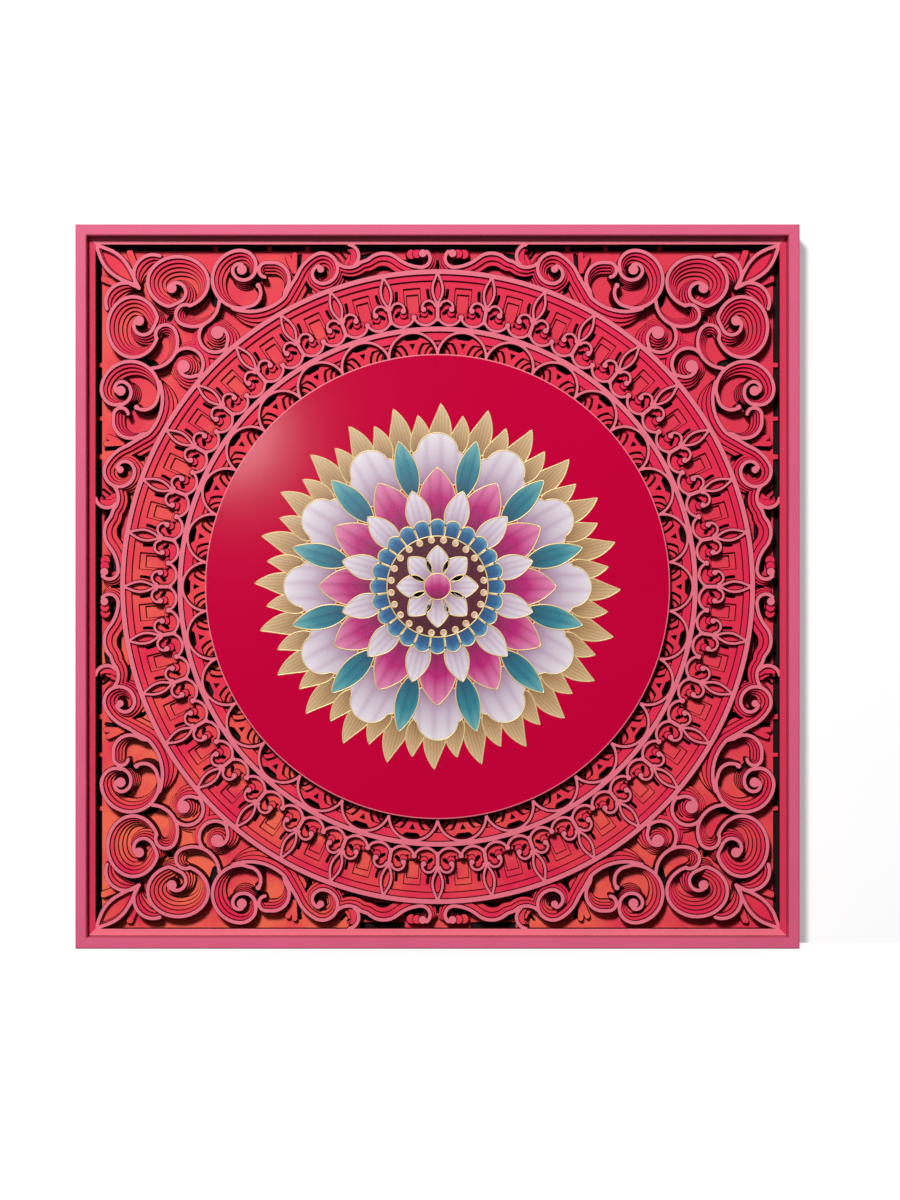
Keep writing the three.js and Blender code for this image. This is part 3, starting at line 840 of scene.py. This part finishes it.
class Fretwork:
    """Signed distances to the edge of each ply over a quarter of the panel, negative inside."""

    def __init__(self, sizes):
        self.step = sizes.fine_step / MM
        self.terrace = sizes.terrace / MM
        self.sizes = sizes
        self.axis = np.arange(0, RIM_HALF + 2 * self.step, self.step).astype(np.float32)
        self.x, self.y = np.meshgrid(self.axis, self.axis)
        self.radius = np.hypot(self.x, self.y)
        self.angle = np.degrees(np.arctan2(self.x, self.y))
        self.plies = np.full((len(PLY_NODES), *self.x.shape), FAR, np.float32)
        self.corner_scrolls()
        self.corner_leaf()
        self.plies = np.minimum(self.plies, self.plies.transpose(0, 2, 1))
        self.fleurs()
        self.arches()
        self.rings()
        self.base()
        self.wells()

    def window(self, line, reach):
        """Part of the grid within reach of a line."""
        low = np.searchsorted(self.axis, line.min(axis=0) - reach)
        high = np.searchsorted(self.axis, line.max(axis=0) + reach)
        return slice(low[1], high[1]), slice(low[0], high[0])

    def join(self, ply, shape, where=...):
        self.plies[ply][where] = np.minimum(self.plies[ply][where], shape)

    def cut(self, ply, shape, where=...):
        self.plies[ply][where] = np.maximum(self.plies[ply][where], -shape)

    def corner_scrolls(self):
        half = self.sizes.scroll_line / MM / 2
        for scroll in SCROLLS.values():
            for row, line in zip(scroll["arcs"], scroll_lines(scroll)):
                self.scroll_arc(row, line, half)
            if "bead" in scroll:
                self.bead(scroll["bead"])
        for ply in (PLY_4, PLY_5):
            for leaflet in LEAFLETS:
                self.join(ply, slit_distance(leaflet, self.x, self.y))
        place = CORNER_FLOOR["place"]
        for ply in range(CORNER_FLOOR["top"], BASE):
            self.join(ply, np.hypot(self.x - place, self.y - place) - CORNER_FLOOR["radius"])

    def scroll_arc(self, row, line, half):
        reach = half + PLY_5 * self.terrace * max(*row["inner"], *row["outer"]) + MARGIN
        where = self.window(line, reach)
        gap, left, share = distance_to(line, self.x[where], self.y[where])
        inside = left if row["sweep"] > 0 else ~left
        widths = [swell(share, row[side], row["peak"]) for side in ("inner", "outer")]
        step = np.where(inside, *widths) * self.terrace
        for ply in range(BASE):
            self.join(ply, gap - half - step * min(ply, row["plies"]), where)

    def bead(self, bead):
        """Bead on the face; on the lower plies it grows, and may drift sideways, step by step."""
        drift = bead.get("drift", 0.0)
        for ply in range(BASE):
            place = np.array([[bead["x"] + drift * min(ply, PLY_3), bead["y"]]])
            radius = bead["radius"] + bead.get("grow", BEAD_GROWTH) * ply
            where = self.window(place, radius + 2 * MARGIN)
            gap = np.hypot(self.x[where] - place[0, 0], self.y[where] - place[0, 1])
            self.join(ply, gap - radius, where)

    def corner_leaf(self):
        """Open leaf on the diagonal, stepped inside and then filled."""
        half = self.sizes.scroll_line / MM / 2
        line = lens(**CORNER_LEAF)
        along = (self.x + self.y) / math.sqrt(2)
        across = np.abs(self.x - self.y) / math.sqrt(2)
        near = (along > CORNER_LEAF["low"] - CORNER_ZONE["before"]) & (across < CORNER_ZONE["aside"])
        where = np.where(near)
        gap, left, _ = distance_to(line, across[where], along[where])
        for ply in range(BASE):
            inward = CORNER_LEAF_STEP * ply if ply < PLY_3 else CORNER_LEAF_FILL
            self.join(ply, gap - half - np.where(left, inward, 0.0), where)

    def folded(self, pitch, offset, low, high):
        """Places of a ring zone folded into half a pitch.

        Returns their indices, radius and turn, and their distance sideways and outward.
        """
        where = np.where((self.radius > low) & (self.radius < high))
        radius = self.radius[where]
        turn = np.abs((self.angle[where] + offset) % pitch - pitch / 2)
        return where, radius, turn, radius * np.sin(np.radians(turn)), radius * np.cos(np.radians(turn))

    def fleurs(self):
        """Leaf, curls, stem and cups of each fleur, with the stepped windows midway between them."""
        half = self.sizes.fleur_line / MM / 2
        where, radius, turn, u, v = self.folded(FLEUR_PITCH, FLEUR_PITCH / 2, *FLEUR_ZONE)
        leaf, leaf_left, _ = distance_to(lens(**FLEUR_LEAF), u, v)
        strokes = [
            (distance_to(spiral(CURL), u, v)[0], half),
            (distance_to(np.array([[0, STEM["low"]], [0, STEM["high"]]]), u, v)[0], half + STEM["extra"]),
            (distance_to(spiral(CUP), u, v)[0], half),
        ]
        foot = np.maximum(CUP_FOOT["inner"] - np.hypot(u - CUP["x"], v - CUP["y"]),
                          np.hypot(u - CUP_FOOT["x"], v - CUP_FOOT["y"]) - CUP_FOOT["outer"])
        strokes.append((np.maximum(foot, radius - CUP_FOOT["high"]), 0.0))
        for bead in FLEUR_BEADS:
            strokes.append((np.hypot(u - bead["x"], v - bead["y"]), bead["radius"]))
        for ply in range(BASE):
            filled = leaf_left & (ply > PLY_2)
            self.join(ply, leaf - half - np.where(filled, FLEUR_LEAF_FILL, FLEUR_LEAF_STEP * ply), where)
            for gap, reach in strokes:
                self.join(ply, gap - reach - FLEUR_STEP * ply, where)
        self.join(PLY_2, np.hypot(u - LOWER_BEAD["x"], v - LOWER_BEAD["y"]) - LOWER_BEAD["radius"], where)
        self.join(PLY_2, band(radius, RING_BAND, OUTER_RING), where)
        floor = band(radius, INNER_RING, OUTER_RING)
        aside = np.abs(radius * np.sin(np.radians(FLEUR_PITCH / 2 - turn)))
        for ply in (PLY_3, PLY_4, PLY_5):
            shape = floor
            if ply in WINDOWS:
                size = WINDOWS[ply]
                opening = band(radius, size["low"], size["high"])
                shape = np.maximum(floor, -np.maximum(aside - size["half"], opening))
            self.join(ply, shape, where)
        from_cup = np.hypot(u - CUP["x"], v - CUP["y"])
        between = band(radius, CUP_WELL["low"], CUP_WELL["high"])
        openings = [np.maximum(between, CUP["start"] + half - from_cup)]
        openings += [slit_distance(eye, u, v) for eye in (CURL_EYE, OUTER_EYE)]
        beside = band(leaf, LEAF_SLOT["near"], LEAF_SLOT["far"])
        reach = band(radius, LEAF_SLOT["low"], LEAF_SLOT["high"])
        openings.append(np.where(leaf_left, FAR, np.maximum(beside, reach)))
        self.fleur_openings = [(shape, where) for shape in openings]
        for ply in (PLY_3, PLY_4, PLY_5):
            for opening in self.fleur_openings:
                self.cut(ply, *opening)
        self.cut(PLY_2, *self.fleur_openings[0])

    def arches(self):
        """Round arches over straps that spring from the cusps, stepping down to dark wells."""
        half = self.sizes.arch_line / MM / 2
        where, radius, _, u, v = self.folded(ARCH_PITCH, 0.0, *ARCH_ZONE)
        from_middle = np.hypot(u, v - ARCH["middle"])
        arch = np.abs(from_middle - ARCH["radius"])
        cusp = math.radians(ARCH_PITCH / 2)
        across, along = CUSP_RADIUS * math.sin(cusp), CUSP_RADIUS * math.cos(cusp)
        springs = [np.hypot(u - across, v - along), np.hypot(u + across, v - along)]
        outside = ARCH["radius"] - from_middle
        for ply in range(PLY_4):
            self.join(ply, arch - half - ARCH_STEP * ply, where)
        for ply in (PLY_2, PLY_3, PLY_4, PLY_5):
            spandrel = np.maximum(outside, SPANDREL_LOW[ply] - radius)
            self.join(ply, np.maximum(spandrel, radius - INNER_RING), where)
        for ply in (PLY_3, PLY_4, PLY_5):
            self.join(ply, self.straps(STRAPS[ply], springs, radius), where)
        spandrel = np.maximum(outside, SPANDREL_LOW[BASE] - radius)
        self.arch_wells = (-np.minimum(self.straps(STRAPS[BASE], springs, radius), spandrel), where)

    def straps(self, edges, springs, radius):
        """Crossing straps of one ply and the band over them."""
        shape = band(radius, ARCH_BAND["low"], ARCH_BAND["high"])
        for spring in springs:
            for near, far in edges:
                shape = np.minimum(shape, band(spring, near, far))
        return shape

    def rings(self):
        """Two rings, the hub under the disc, and the rim of the face ply."""
        half = self.sizes.ring_line / MM / 2
        for ply in range(BASE):
            self.join(ply, np.abs(self.radius - OUTER_RING) - half)
            self.join(ply, np.abs(self.radius - INNER_RING) - half)
            self.join(ply, self.radius - HUB_RADIUS)
        edge = np.maximum(self.x, self.y)
        for ply in range(PLY_2, BASE):
            self.plies[ply] = np.maximum(self.plies[ply], edge - BASE_HALF)
        self.join(FACE, band(edge, RIM_INNER, RIM_HALF))

    def base(self):
        """Square base with its tabs and the dark wells under the ring zone."""
        edge, aside = np.maximum(self.x, self.y), np.minimum(self.x, self.y)
        self.plies[BASE] = edge - BASE_HALF
        for tab in TABS:
            across = np.abs(aside - tab["place"]) - tab["half"]
            self.join(BASE, np.maximum(across, edge - RIM_INNER - TAB_OVERLAP))
        for opening in self.fleur_openings:
            self.cut(BASE, *opening)
        self.cut(BASE, *self.arch_wells)

    def wells(self):
        """Slits beside the scrolls, cut through the lowest plies."""
        for well in WELLS:
            for u, v in ((self.x, self.y), (self.y, self.x)):
                shape = slit_distance(well, u, v)
                for ply in range(well["top"], BASE + 1):
                    self.cut(ply, shape)

    def sill(self, axis):
        """Strip that carries the base down to the rim, over the whole panel."""
        across, up = np.meshgrid(axis, axis)
        reach = np.maximum(up + BASE_HALF - SILL_OVERLAP, -up - RIM_INNER - SILL_OVERLAP)
        gap = np.abs(np.abs(across) - SILL_GAP["place"]) - SILL_GAP["half"]
        return np.maximum(np.maximum(np.abs(across) - BASE_HALF, -gap), reach)

    def outlines(self, ply):
        """Closed outlines of one ply over the whole panel."""
        quarter = self.plies[ply]
        half = np.concatenate([quarter[:, :0:-1], quarter], axis=1)
        whole = np.concatenate([half[:0:-1], half], axis=0)
        origin = -self.axis[-1]
        if ply == BASE:
            whole = np.minimum(whole, self.sill(origin + np.arange(len(whole)) * self.step))
        return [thinned(origin + loop * self.step, self.step) for loop in contours(whole)]


# Edges crossed in a grid cell, by which of its corners lie inside: 0 lower, 1 right, 2 upper, 3 left
CELL_LINES = {
    1: [(0, 3)], 2: [(1, 0)], 3: [(1, 3)], 4: [(2, 1)], 5: [(0, 3), (2, 1)], 6: [(2, 0)], 7: [(2, 3)],
    8: [(3, 2)], 9: [(0, 2)], 10: [(1, 0), (3, 2)], 11: [(1, 2)], 12: [(3, 1)], 13: [(0, 1)], 14: [(3, 0)],
}


def contours(values):
    """Closed lines where a grid of values crosses zero, in grid steps, with the inside on the left."""
    rows, columns = values.shape
    inside = values < 0
    code = (inside[:-1, :-1] * 1 + inside[:-1, 1:] * 2 + inside[1:, 1:] * 4 + inside[1:, :-1] * 8)
    size = rows * columns
    starts, ends = [], []
    for case, lines in CELL_LINES.items():
        i, j = np.nonzero(code == case)
        corner = i * columns + j
        edges = (corner, size + corner + 1, corner + columns, size + corner)
        for start, end in lines:
            starts.append(edges[start])
            ends.append(edges[end])
    starts, ends = np.concatenate(starts), np.concatenate(ends)
    order = np.argsort(starts)
    starts, ends = starts[order], ends[order]
    after = np.searchsorted(starts, ends).tolist()
    points = crossing_points(values, starts, size, columns)
    loops, seen = [], [False] * len(after)
    for first in range(len(after)):
        loop, at = [], first
        while not seen[at]:
            seen[at] = True
            loop.append(at)
            at = after[at]
        if len(loop) > SHORTEST_LOOP:
            loops.append(points[loop])
    return loops


def crossing_points(values, edges, size, columns):
    """Where the zero line crosses each named grid edge."""
    upright = edges >= size
    corner = np.where(upright, edges - size, edges)
    i, j = corner // columns, corner % columns
    first = values[i, j]
    second = values[np.where(upright, i + 1, i), np.where(upright, j, j + 1)]
    share = first / (first - second)
    return np.stack([j + np.where(upright, 0, share), i + np.where(upright, share, 0)], axis=1)


def thinned(loop, step, turn_limit=0.12, span_limit=9.0, nearest=0.8):
    """Outline with its jitter smoothed and a point kept only where the line has turned or run on."""
    loop = (np.roll(loop, 1, axis=0) + 2 * loop + np.roll(loop, -1, axis=0)) / 4
    ahead = np.roll(loop, -1, axis=0) - loop
    spans = np.hypot(ahead[:, 0], ahead[:, 1])
    heading = np.arctan2(ahead[:, 1], ahead[:, 0])
    turns = (heading - np.roll(heading, 1) + math.pi) % math.tau - math.pi
    kept, turned, run = [0], 0.0, 0.0
    for i in range(1, len(loop)):
        turned += turns[i]
        run += spans[i - 1]
        if run > step * nearest and (abs(turned) > turn_limit or run > span_limit):
            kept.append(i)
            turned, run = 0.0, 0.0
    return loop[kept] if len(kept) > 3 else loop


def petal_outline(row, sharp=0.92, fullness=0.8):
    """Pointed petal from its root to its tip."""
    right = lens(row["low"], row["high"], row["half"], sharp, fullness)
    left = right[-2:0:-1] * (-1, 1)
    return np.concatenate([right, left])


def lock_outline(row):
    """Wavy lock of fringe that leans to one side."""
    outline = petal_outline(row, 0.7, 0.9)
    share = (outline[:, 1] - row["low"]) / (row["high"] - row["low"])
    outline[:, 0] += row["half"] * 0.55 * np.sin(share * 2.6) * share
    return outline


def cloud_outline(row):
    """Cloud head of three round lobes."""
    angle = np.linspace(0, math.tau, 72, endpoint=False)
    lobes = 0.76 + 0.24 * np.abs(np.cos(1.5 * (angle - math.pi / 2)))
    middle = row["low"] + (row["high"] - row["low"]) * 0.42
    height = row["high"] - middle
    return np.stack([row["half"] * lobes * np.cos(angle), middle + height * lobes * np.sin(angle)], axis=1)


def scale_outline(row):
    """Rounded scale with a straight root."""
    angle = np.linspace(0, math.pi, 17)
    reach = row["high"] - row["low"] - row["half"]
    cap = np.stack([row["half"] * np.cos(angle), row["low"] + reach + row["half"] * np.sin(angle)], axis=1)
    root = np.array([[-row["half"] * 0.7, row["low"]], [row["half"] * 0.7, row["low"]]])
    return np.concatenate([cap, root])


def round_outline(row):
    """Circle or bead."""
    count = 96 if row["half"] > 20 else 24
    angle = np.linspace(0, math.tau, count, endpoint=False)
    middle = (row["low"] + row["high"]) / 2
    return np.stack([row["half"] * np.cos(angle), middle + row["half"] * np.sin(angle)], axis=1)


CELL_SHAPES = {
    "petal": petal_outline, "lock": lock_outline, "cloud": cloud_outline, "scale": scale_outline,
    "round": round_outline,
}


def cell_mesh(row, outline, height):
    """One printed cell as a thin closed plate that carries its own across and along measure."""
    mesh = bpy.data.meshes.new(row["name"])
    count = len(outline)
    flat = outline * MM
    low = np.column_stack([flat, np.zeros(count)])
    high = np.column_stack([flat, np.full(count, height)])
    faces = [list(range(count, 2 * count)), list(range(count - 1, -1, -1))]
    for i in range(count):
        after = (i + 1) % count
        faces.append([i, after, count + after, count + i])
    mesh.from_pydata(np.concatenate([low, high]).tolist(), [], faces)
    measure = np.zeros((2 * count, 3))
    measure[:, 0] = np.tile(outline[:, 0] / row["half"], 2)
    measure[:, 1] = np.tile((outline[:, 1] - row["low"]) / (row["high"] - row["low"]), 2)
    mesh.attributes.new("cell", "FLOAT_VECTOR", "POINT").data.foreach_set("vector", measure.ravel())
    return mesh


def closed_mesh(name, shape):
    """Mesh of a closed shape with its faces turned outward."""
    bmesh.ops.recalc_face_normals(shape, faces=shape.faces)
    mesh = bpy.data.meshes.new(name)
    shape.to_mesh(mesh)
    shape.free()
    return mesh


def lathe(name, profile, sides):
    """Closed turned mesh from a profile of radius and height that starts and ends on the axis."""
    shape = bmesh.new()
    rings = []
    for radius, height in profile:
        if radius < TINY:
            rings.append([shape.verts.new((0, 0, height))])
        else:
            rings.append([shape.verts.new((radius * math.cos(math.tau * i / sides),
                                           radius * math.sin(math.tau * i / sides), height))
                          for i in range(sides)])
    for low, high in zip(rings[:-1], rings[1:]):
        for i in range(sides):
            corners = [low[i % len(low)], low[(i + 1) % len(low)],
                       high[(i + 1) % len(high)], high[i % len(high)]]
            shape.faces.new(list(dict.fromkeys(corners)))
    return closed_mesh(name, shape)


def mitre_fillers():
    """Four thin slips that close the mitres of the frame behind its front."""
    low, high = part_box("frame_rail_left")
    depths = [low.y + MITRE[end] * MM for end in ("recess", "deep")]
    aside = MITRE["half"] * MM
    outer = PANEL_SIDE / 2 - aside
    inner = PANEL_SIDE / 2 - (high.x - low.x) + aside
    corners = [(outer, aside), (outer, -aside), (inner, -aside), (inner, aside)]
    shape = bmesh.new()
    for across, up in ((1, 1), (-1, 1), (-1, -1), (1, -1)):
        front, back = [
            [shape.verts.new((across * (reach - side), depth, MIDDLE_HEIGHT + up * (reach + side)))
             for reach, side in corners] for depth in depths]
        shape.faces.new(front)
        shape.faces.new(back)
        for i in range(4):
            shape.faces.new((front[i - 1], front[i], back[i], back[i - 1]))
    return closed_mesh("mitre_fillers", shape)


class FRETWORK_OT_frame(bpy.types.Operator):
    """Paint the frame rails, close their mitres and finish the board and the hanger"""
    bl_idname = "fretwork.frame"
    bl_label = "Dress the frame"

    def execute(self, context):
        colours = context.scene.panel_colours
        finishes = {"back_board": board_finish(colours), "wall_hanger": steel_finish()}
        paint = paint_finish("frame_paint", colours.frame, roughness=0.42)
        for side in ("top", "bottom", "left", "right"):
            finishes["frame_rail_" + side] = paint
        for node, material in finishes.items():
            data = frame["nodes"][node].data
            data.materials.clear()
            data.materials.append(material)
        slips = mitre_fillers()
        slips.materials.append(paint)
        seat(add_to_scene("mitre_fillers", slips), "frame_paint")
        return {"FINISHED"}


class FRETWORK_OT_plies(bpy.types.Operator):
    """Cut the face ply, the stepped plies and the base"""
    bl_idname = "fretwork.plies"
    bl_label = "Cut the plies"

    def execute(self, context):
        colours = context.scene.panel_colours
        paints = [colours.face, colours.ply_2, colours.ply_3, colours.ply_4, colours.ply_5, colours.base]
        sizes = context.scene.fretwork_sizes
        work = Fretwork(sizes)
        tree = pierced_plate_tree()
        for ply, (node, slot, paint) in enumerate(zip(PLY_NODES, PLY_SLOTS, paints)):
            low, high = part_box(node)
            extra = {"warm": colours.warm, "warmth": WARMTH[ply]} if ply else {"deep": colours.rim_side_shade}
            material = paint_finish(slot, paint, wall=colours.cut_edge, **extra)
            values = {"Thickness": high.y - low.y, "Material": material}
            curve = outline_curve(node, work.outlines(ply))
            mesh = grown(node + "_cut", curve, tree, values, to_front(high.y))
            lean_walls(mesh, high.y, sizes.lean)
            seat(add_to_scene(node + "_cut", mesh), slot, node)
        return {"FINISHED"}


class FRETWORK_OT_disc(bpy.types.Operator):
    """Turn the glossy disc with its pale bevel, a painted highlight round its edge"""
    bl_idname = "fretwork.disc"
    bl_label = "Turn the disc"

    def execute(self, context):
        colours = context.scene.panel_colours
        low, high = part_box("picture_disc")
        radius = DISC_RADIUS * MM
        deep = high.y - low.y
        edge = context.scene.rosette_sizes.edge
        bevel = [(radius - edge * inward, deep - edge * down) for inward, down in BEVEL]
        profile = [(0, 0), (radius - edge * BACK_BEVEL, 0), (radius, edge * BACK_BEVEL), *bevel, (0, deep)]
        mesh = lathe("picture_disc_turned", profile, DISC_SIDES)
        mesh.transform(to_front(high.y))
        mesh.materials.append(gloss_finish("disc_gloss", colours.disc))
        # Painted highlight on the bevel round the edge of the disc
        mesh.materials.append(gloss_finish("disc_edge", colours.disc_edge, edge=True))
        for face in mesh.polygons:
            flat = face.center - Vector((0, face.center.y, MIDDLE_HEIGHT))
            face.material_index = 1 if flat.length > radius - edge else 0
        seat(add_to_scene("picture_disc_turned", mesh), "disc_gloss", "picture_disc")
        return {"FINISHED"}


def rosette_finishes():
    """Finish of every ink of the rosette."""
    finishes = {}
    for name, (root, middle, tip, place, streak, count) in INKS.items():
        stops = [(0.0, srgb(*root)), (place, srgb(*middle)), (1.0, srgb(*tip))]
        finishes[name] = cell_finish("ink_" + name, stops, srgb(*streak), count)
    return finishes


class FRETWORK_OT_rosette(bpy.types.Operator):
    """Lay the printed rosette on the disc"""
    bl_idname = "fretwork.rosette"
    bl_label = "Print the rosette"

    def execute(self, context):
        sizes = context.scene.rosette_sizes
        finishes = rosette_finishes()
        gold = gold_finish(context.scene.panel_colours.gold)
        cells, outlines = ring_tree(), outline_tree()
        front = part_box("picture_disc")[0].y
        for tier, row in enumerate(ROSETTE):
            outline = CELL_SHAPES[row["shape"]](row)
            height = sizes.film * (tier + 1)
            values = {"Count": row["count"], "Turn": row["turn"], "Material": finishes[row["finish"]]}
            data = cell_mesh(row, outline, height)
            mesh = grown(row["name"], data, cells, values, to_front(front))
            seat(add_to_scene(row["name"], mesh), "disc_gloss")
            values.update({"Material": gold, "Line width": sizes.line, "Line height": sizes.line_height})
            line = outline_curve(row["name"], [outline])
            mesh = grown(row["name"] + "_line", line, outlines, values, to_front(front - height))
            seat(add_to_scene(row["name"] + "_line", mesh), "disc_gloss")
        return {"FINISHED"}


# Camera, and lights of the stage with their place in metres, size and power
CAMERA_DISTANCE = 2.2
PHOTO_SIZE = (900, 1200)
PANEL_PIXELS = 724.5
PANEL_PIXEL_MIDDLE = (437.5, 586.5)
LIGHTS = [
    {"name": "key_light", "place": (-0.66, -3.35, 1.76), "size": 0.5, "power": 139},
    {"name": "sheen_light", "place": (-0.33, -2.0, 0.55), "size": 0.14, "power": 1.2},
    {"name": "side_light_left", "place": (-2.4, 0.6, 0.9), "size": 1.2, "power": 8},
    {"name": "side_light_right", "place": (2.4, 0.6, 0.8), "size": 1.2, "power": 8},
    {"name": "back_light", "place": (0.9, 2.2, 1.6), "size": 1.4, "power": 45},
]

# Floor, wall and room in metres, with how much they glow
STAGE_REACH = 6.0
FLOOR_GAP = 0.0005
WALL = {"gap": 0.002, "foot": -0.01, "top": 5.0}
FLOOR_GLOW = 0.62
WALL_GLOW = 0.36
ROOM_GLOW = 0.05
PALE = (0.7, 0.72)


class FRETWORK_OT_stage(bpy.types.Operator):
    """Set the floor, the wall, the lights and the camera"""
    bl_idname = "fretwork.stage"
    bl_label = "Set the stage"

    def execute(self, context):
        self.add_floor()
        self.add_wall()
        for light in LIGHTS:
            self.add_light(light)
        self.add_camera(context.scene)
        self.light_room(context.scene)
        return {"FINISHED"}

    def sheet(self, name, corners, material):
        mesh = bpy.data.meshes.new(name)
        mesh.from_pydata(corners, [], [(0, 1, 2, 3)])
        mesh.materials.append(material)
        piece = add_to_scene(name, mesh)
        piece.visible_diffuse = False
        piece.visible_glossy = False
        return piece

    def pale_finish(self, name, glow):
        """Pale sheet that glows a little, so that it stays pale away from the key light."""
        finish = Finish(name, Specular_IOR_Level=0.1, Emission_Color=(1, 1, 1, 1), Emission_Strength=glow)
        mottle = finish.noise(3.0, 2.0)
        greys = [(grey, grey, grey) for grey in PALE]
        finish.drive(Base_Color=finish.mix(mottle, *greys), Roughness=mottle * 0.1 + 0.8)
        return finish

    def add_floor(self):
        low, reach = PANEL_LOW.z - FLOOR_GAP, STAGE_REACH
        corners = [(-reach, -reach, low), (reach, -reach, low), (reach, reach, low), (-reach, reach, low)]
        self.sheet("floor", corners, self.pale_finish("pale_floor", FLOOR_GLOW).material)

    def add_wall(self):
        """Wall close behind the panel, clear from behind so that the back can be seen."""
        behind, foot, top = PANEL_HIGH.y + WALL["gap"], WALL["foot"], WALL["top"]
        places = [(-STAGE_REACH, foot), (STAGE_REACH, foot), (STAGE_REACH, top), (-STAGE_REACH, top)]
        finish = self.pale_finish("pale_wall", WALL_GLOW)
        back = finish.node("ShaderNodeNewGeometry", output="Backfacing")
        clear = finish.node("ShaderNodeBsdfTransparent")
        solid = Wire(finish, finish.shader.outputs[0])
        both = finish.node("ShaderNodeMixShader", None, {0: back, 1: solid, 2: clear})
        end = finish.tree.nodes["Material Output"]
        finish.tree.links.new(both.socket, end.inputs["Surface"])
        wall = self.sheet("wall", [(across, behind, up) for across, up in places], finish.material)
        wall.visible_shadow = False

    def add_light(self, row):
        lamp = bpy.data.lights.new(row["name"], "AREA")
        lamp.shape = "DISK"
        lamp.size = row["size"]
        lamp.energy = row["power"]
        piece = add_to_scene(row["name"], lamp)
        piece.location = row["place"]
        aim = Vector((0, 0, MIDDLE_HEIGHT)) - piece.location
        piece.rotation_euler = aim.to_track_quat("-Z", "Y").to_euler()

    def add_camera(self, scene):
        camera = bpy.data.cameras.new("camera")
        piece = add_to_scene("camera", camera)
        across = PANEL_SIDE * PHOTO_SIZE[1] / PANEL_PIXELS
        per_pixel = PANEL_SIDE / PANEL_PIXELS
        camera.lens = camera.sensor_width * CAMERA_DISTANCE / across
        aside = (PHOTO_SIZE[0] / 2 - PANEL_PIXEL_MIDDLE[0]) * per_pixel
        lower = (PHOTO_SIZE[1] / 2 - PANEL_PIXEL_MIDDLE[1]) * per_pixel
        piece.location = (aside, PANEL_LOW.y - CAMERA_DISTANCE, MIDDLE_HEIGHT - lower)
        piece.rotation_euler = (math.radians(90), 0, 0)
        scene.camera = piece

    def light_room(self, scene):
        scene.view_settings.view_transform = "Standard"
        world = bpy.data.worlds.new("room")
        world.use_nodes = True
        background = world.node_tree.nodes["Background"].inputs
        background["Color"].default_value = (1, 1, 1, 1)
        background["Strength"].default_value = ROOM_GLOW
        scene.world = world


PIECE_OPERATORS = [
    FRETWORK_OT_frame, FRETWORK_OT_plies, FRETWORK_OT_disc, FRETWORK_OT_rosette, FRETWORK_OT_stage,
]
GROUPS = {"fretwork_sizes": FretworkSizes, "rosette_sizes": RosetteSizes, "panel_colours": PanelColours}


class VIEW3D_PT_fretwork(bpy.types.Panel):
    """Buttons and sizes of the fretwork panel"""
    bl_label = "Fretwork panel"
    bl_space_type = "VIEW_3D"
    bl_region_type = "UI"
    bl_category = "Fretwork"

    def draw(self, context):
        for operator in PIECE_OPERATORS:
            self.layout.operator(operator.bl_idname)
        for key in GROUPS:
            group, box = getattr(context.scene, key), self.layout.box()
            for name in group.bl_rna.properties.keys():
                if name not in {"rna_type", "name"}:
                    box.prop(group, name)


CLASSES = [*GROUPS.values(), *PIECE_OPERATORS, VIEW3D_PT_fretwork]


def register():
    for item in CLASSES:
        bpy.utils.register_class(item)
    for key, group in GROUPS.items():
        setattr(bpy.types.Scene, key, bpy.props.PointerProperty(type=group))


def unregister():
    for key in GROUPS:
        delattr(bpy.types.Scene, key)
    for item in reversed(CLASSES):
        bpy.utils.unregister_class(item)


def main():
    """Dress the panel piece by piece."""
    register()
    bpy.ops.fretwork.frame()
    bpy.ops.fretwork.plies()
    bpy.ops.fretwork.disc()
    bpy.ops.fretwork.rosette()
    bpy.ops.fretwork.stage()


if __name__ == "__main__":
    main()
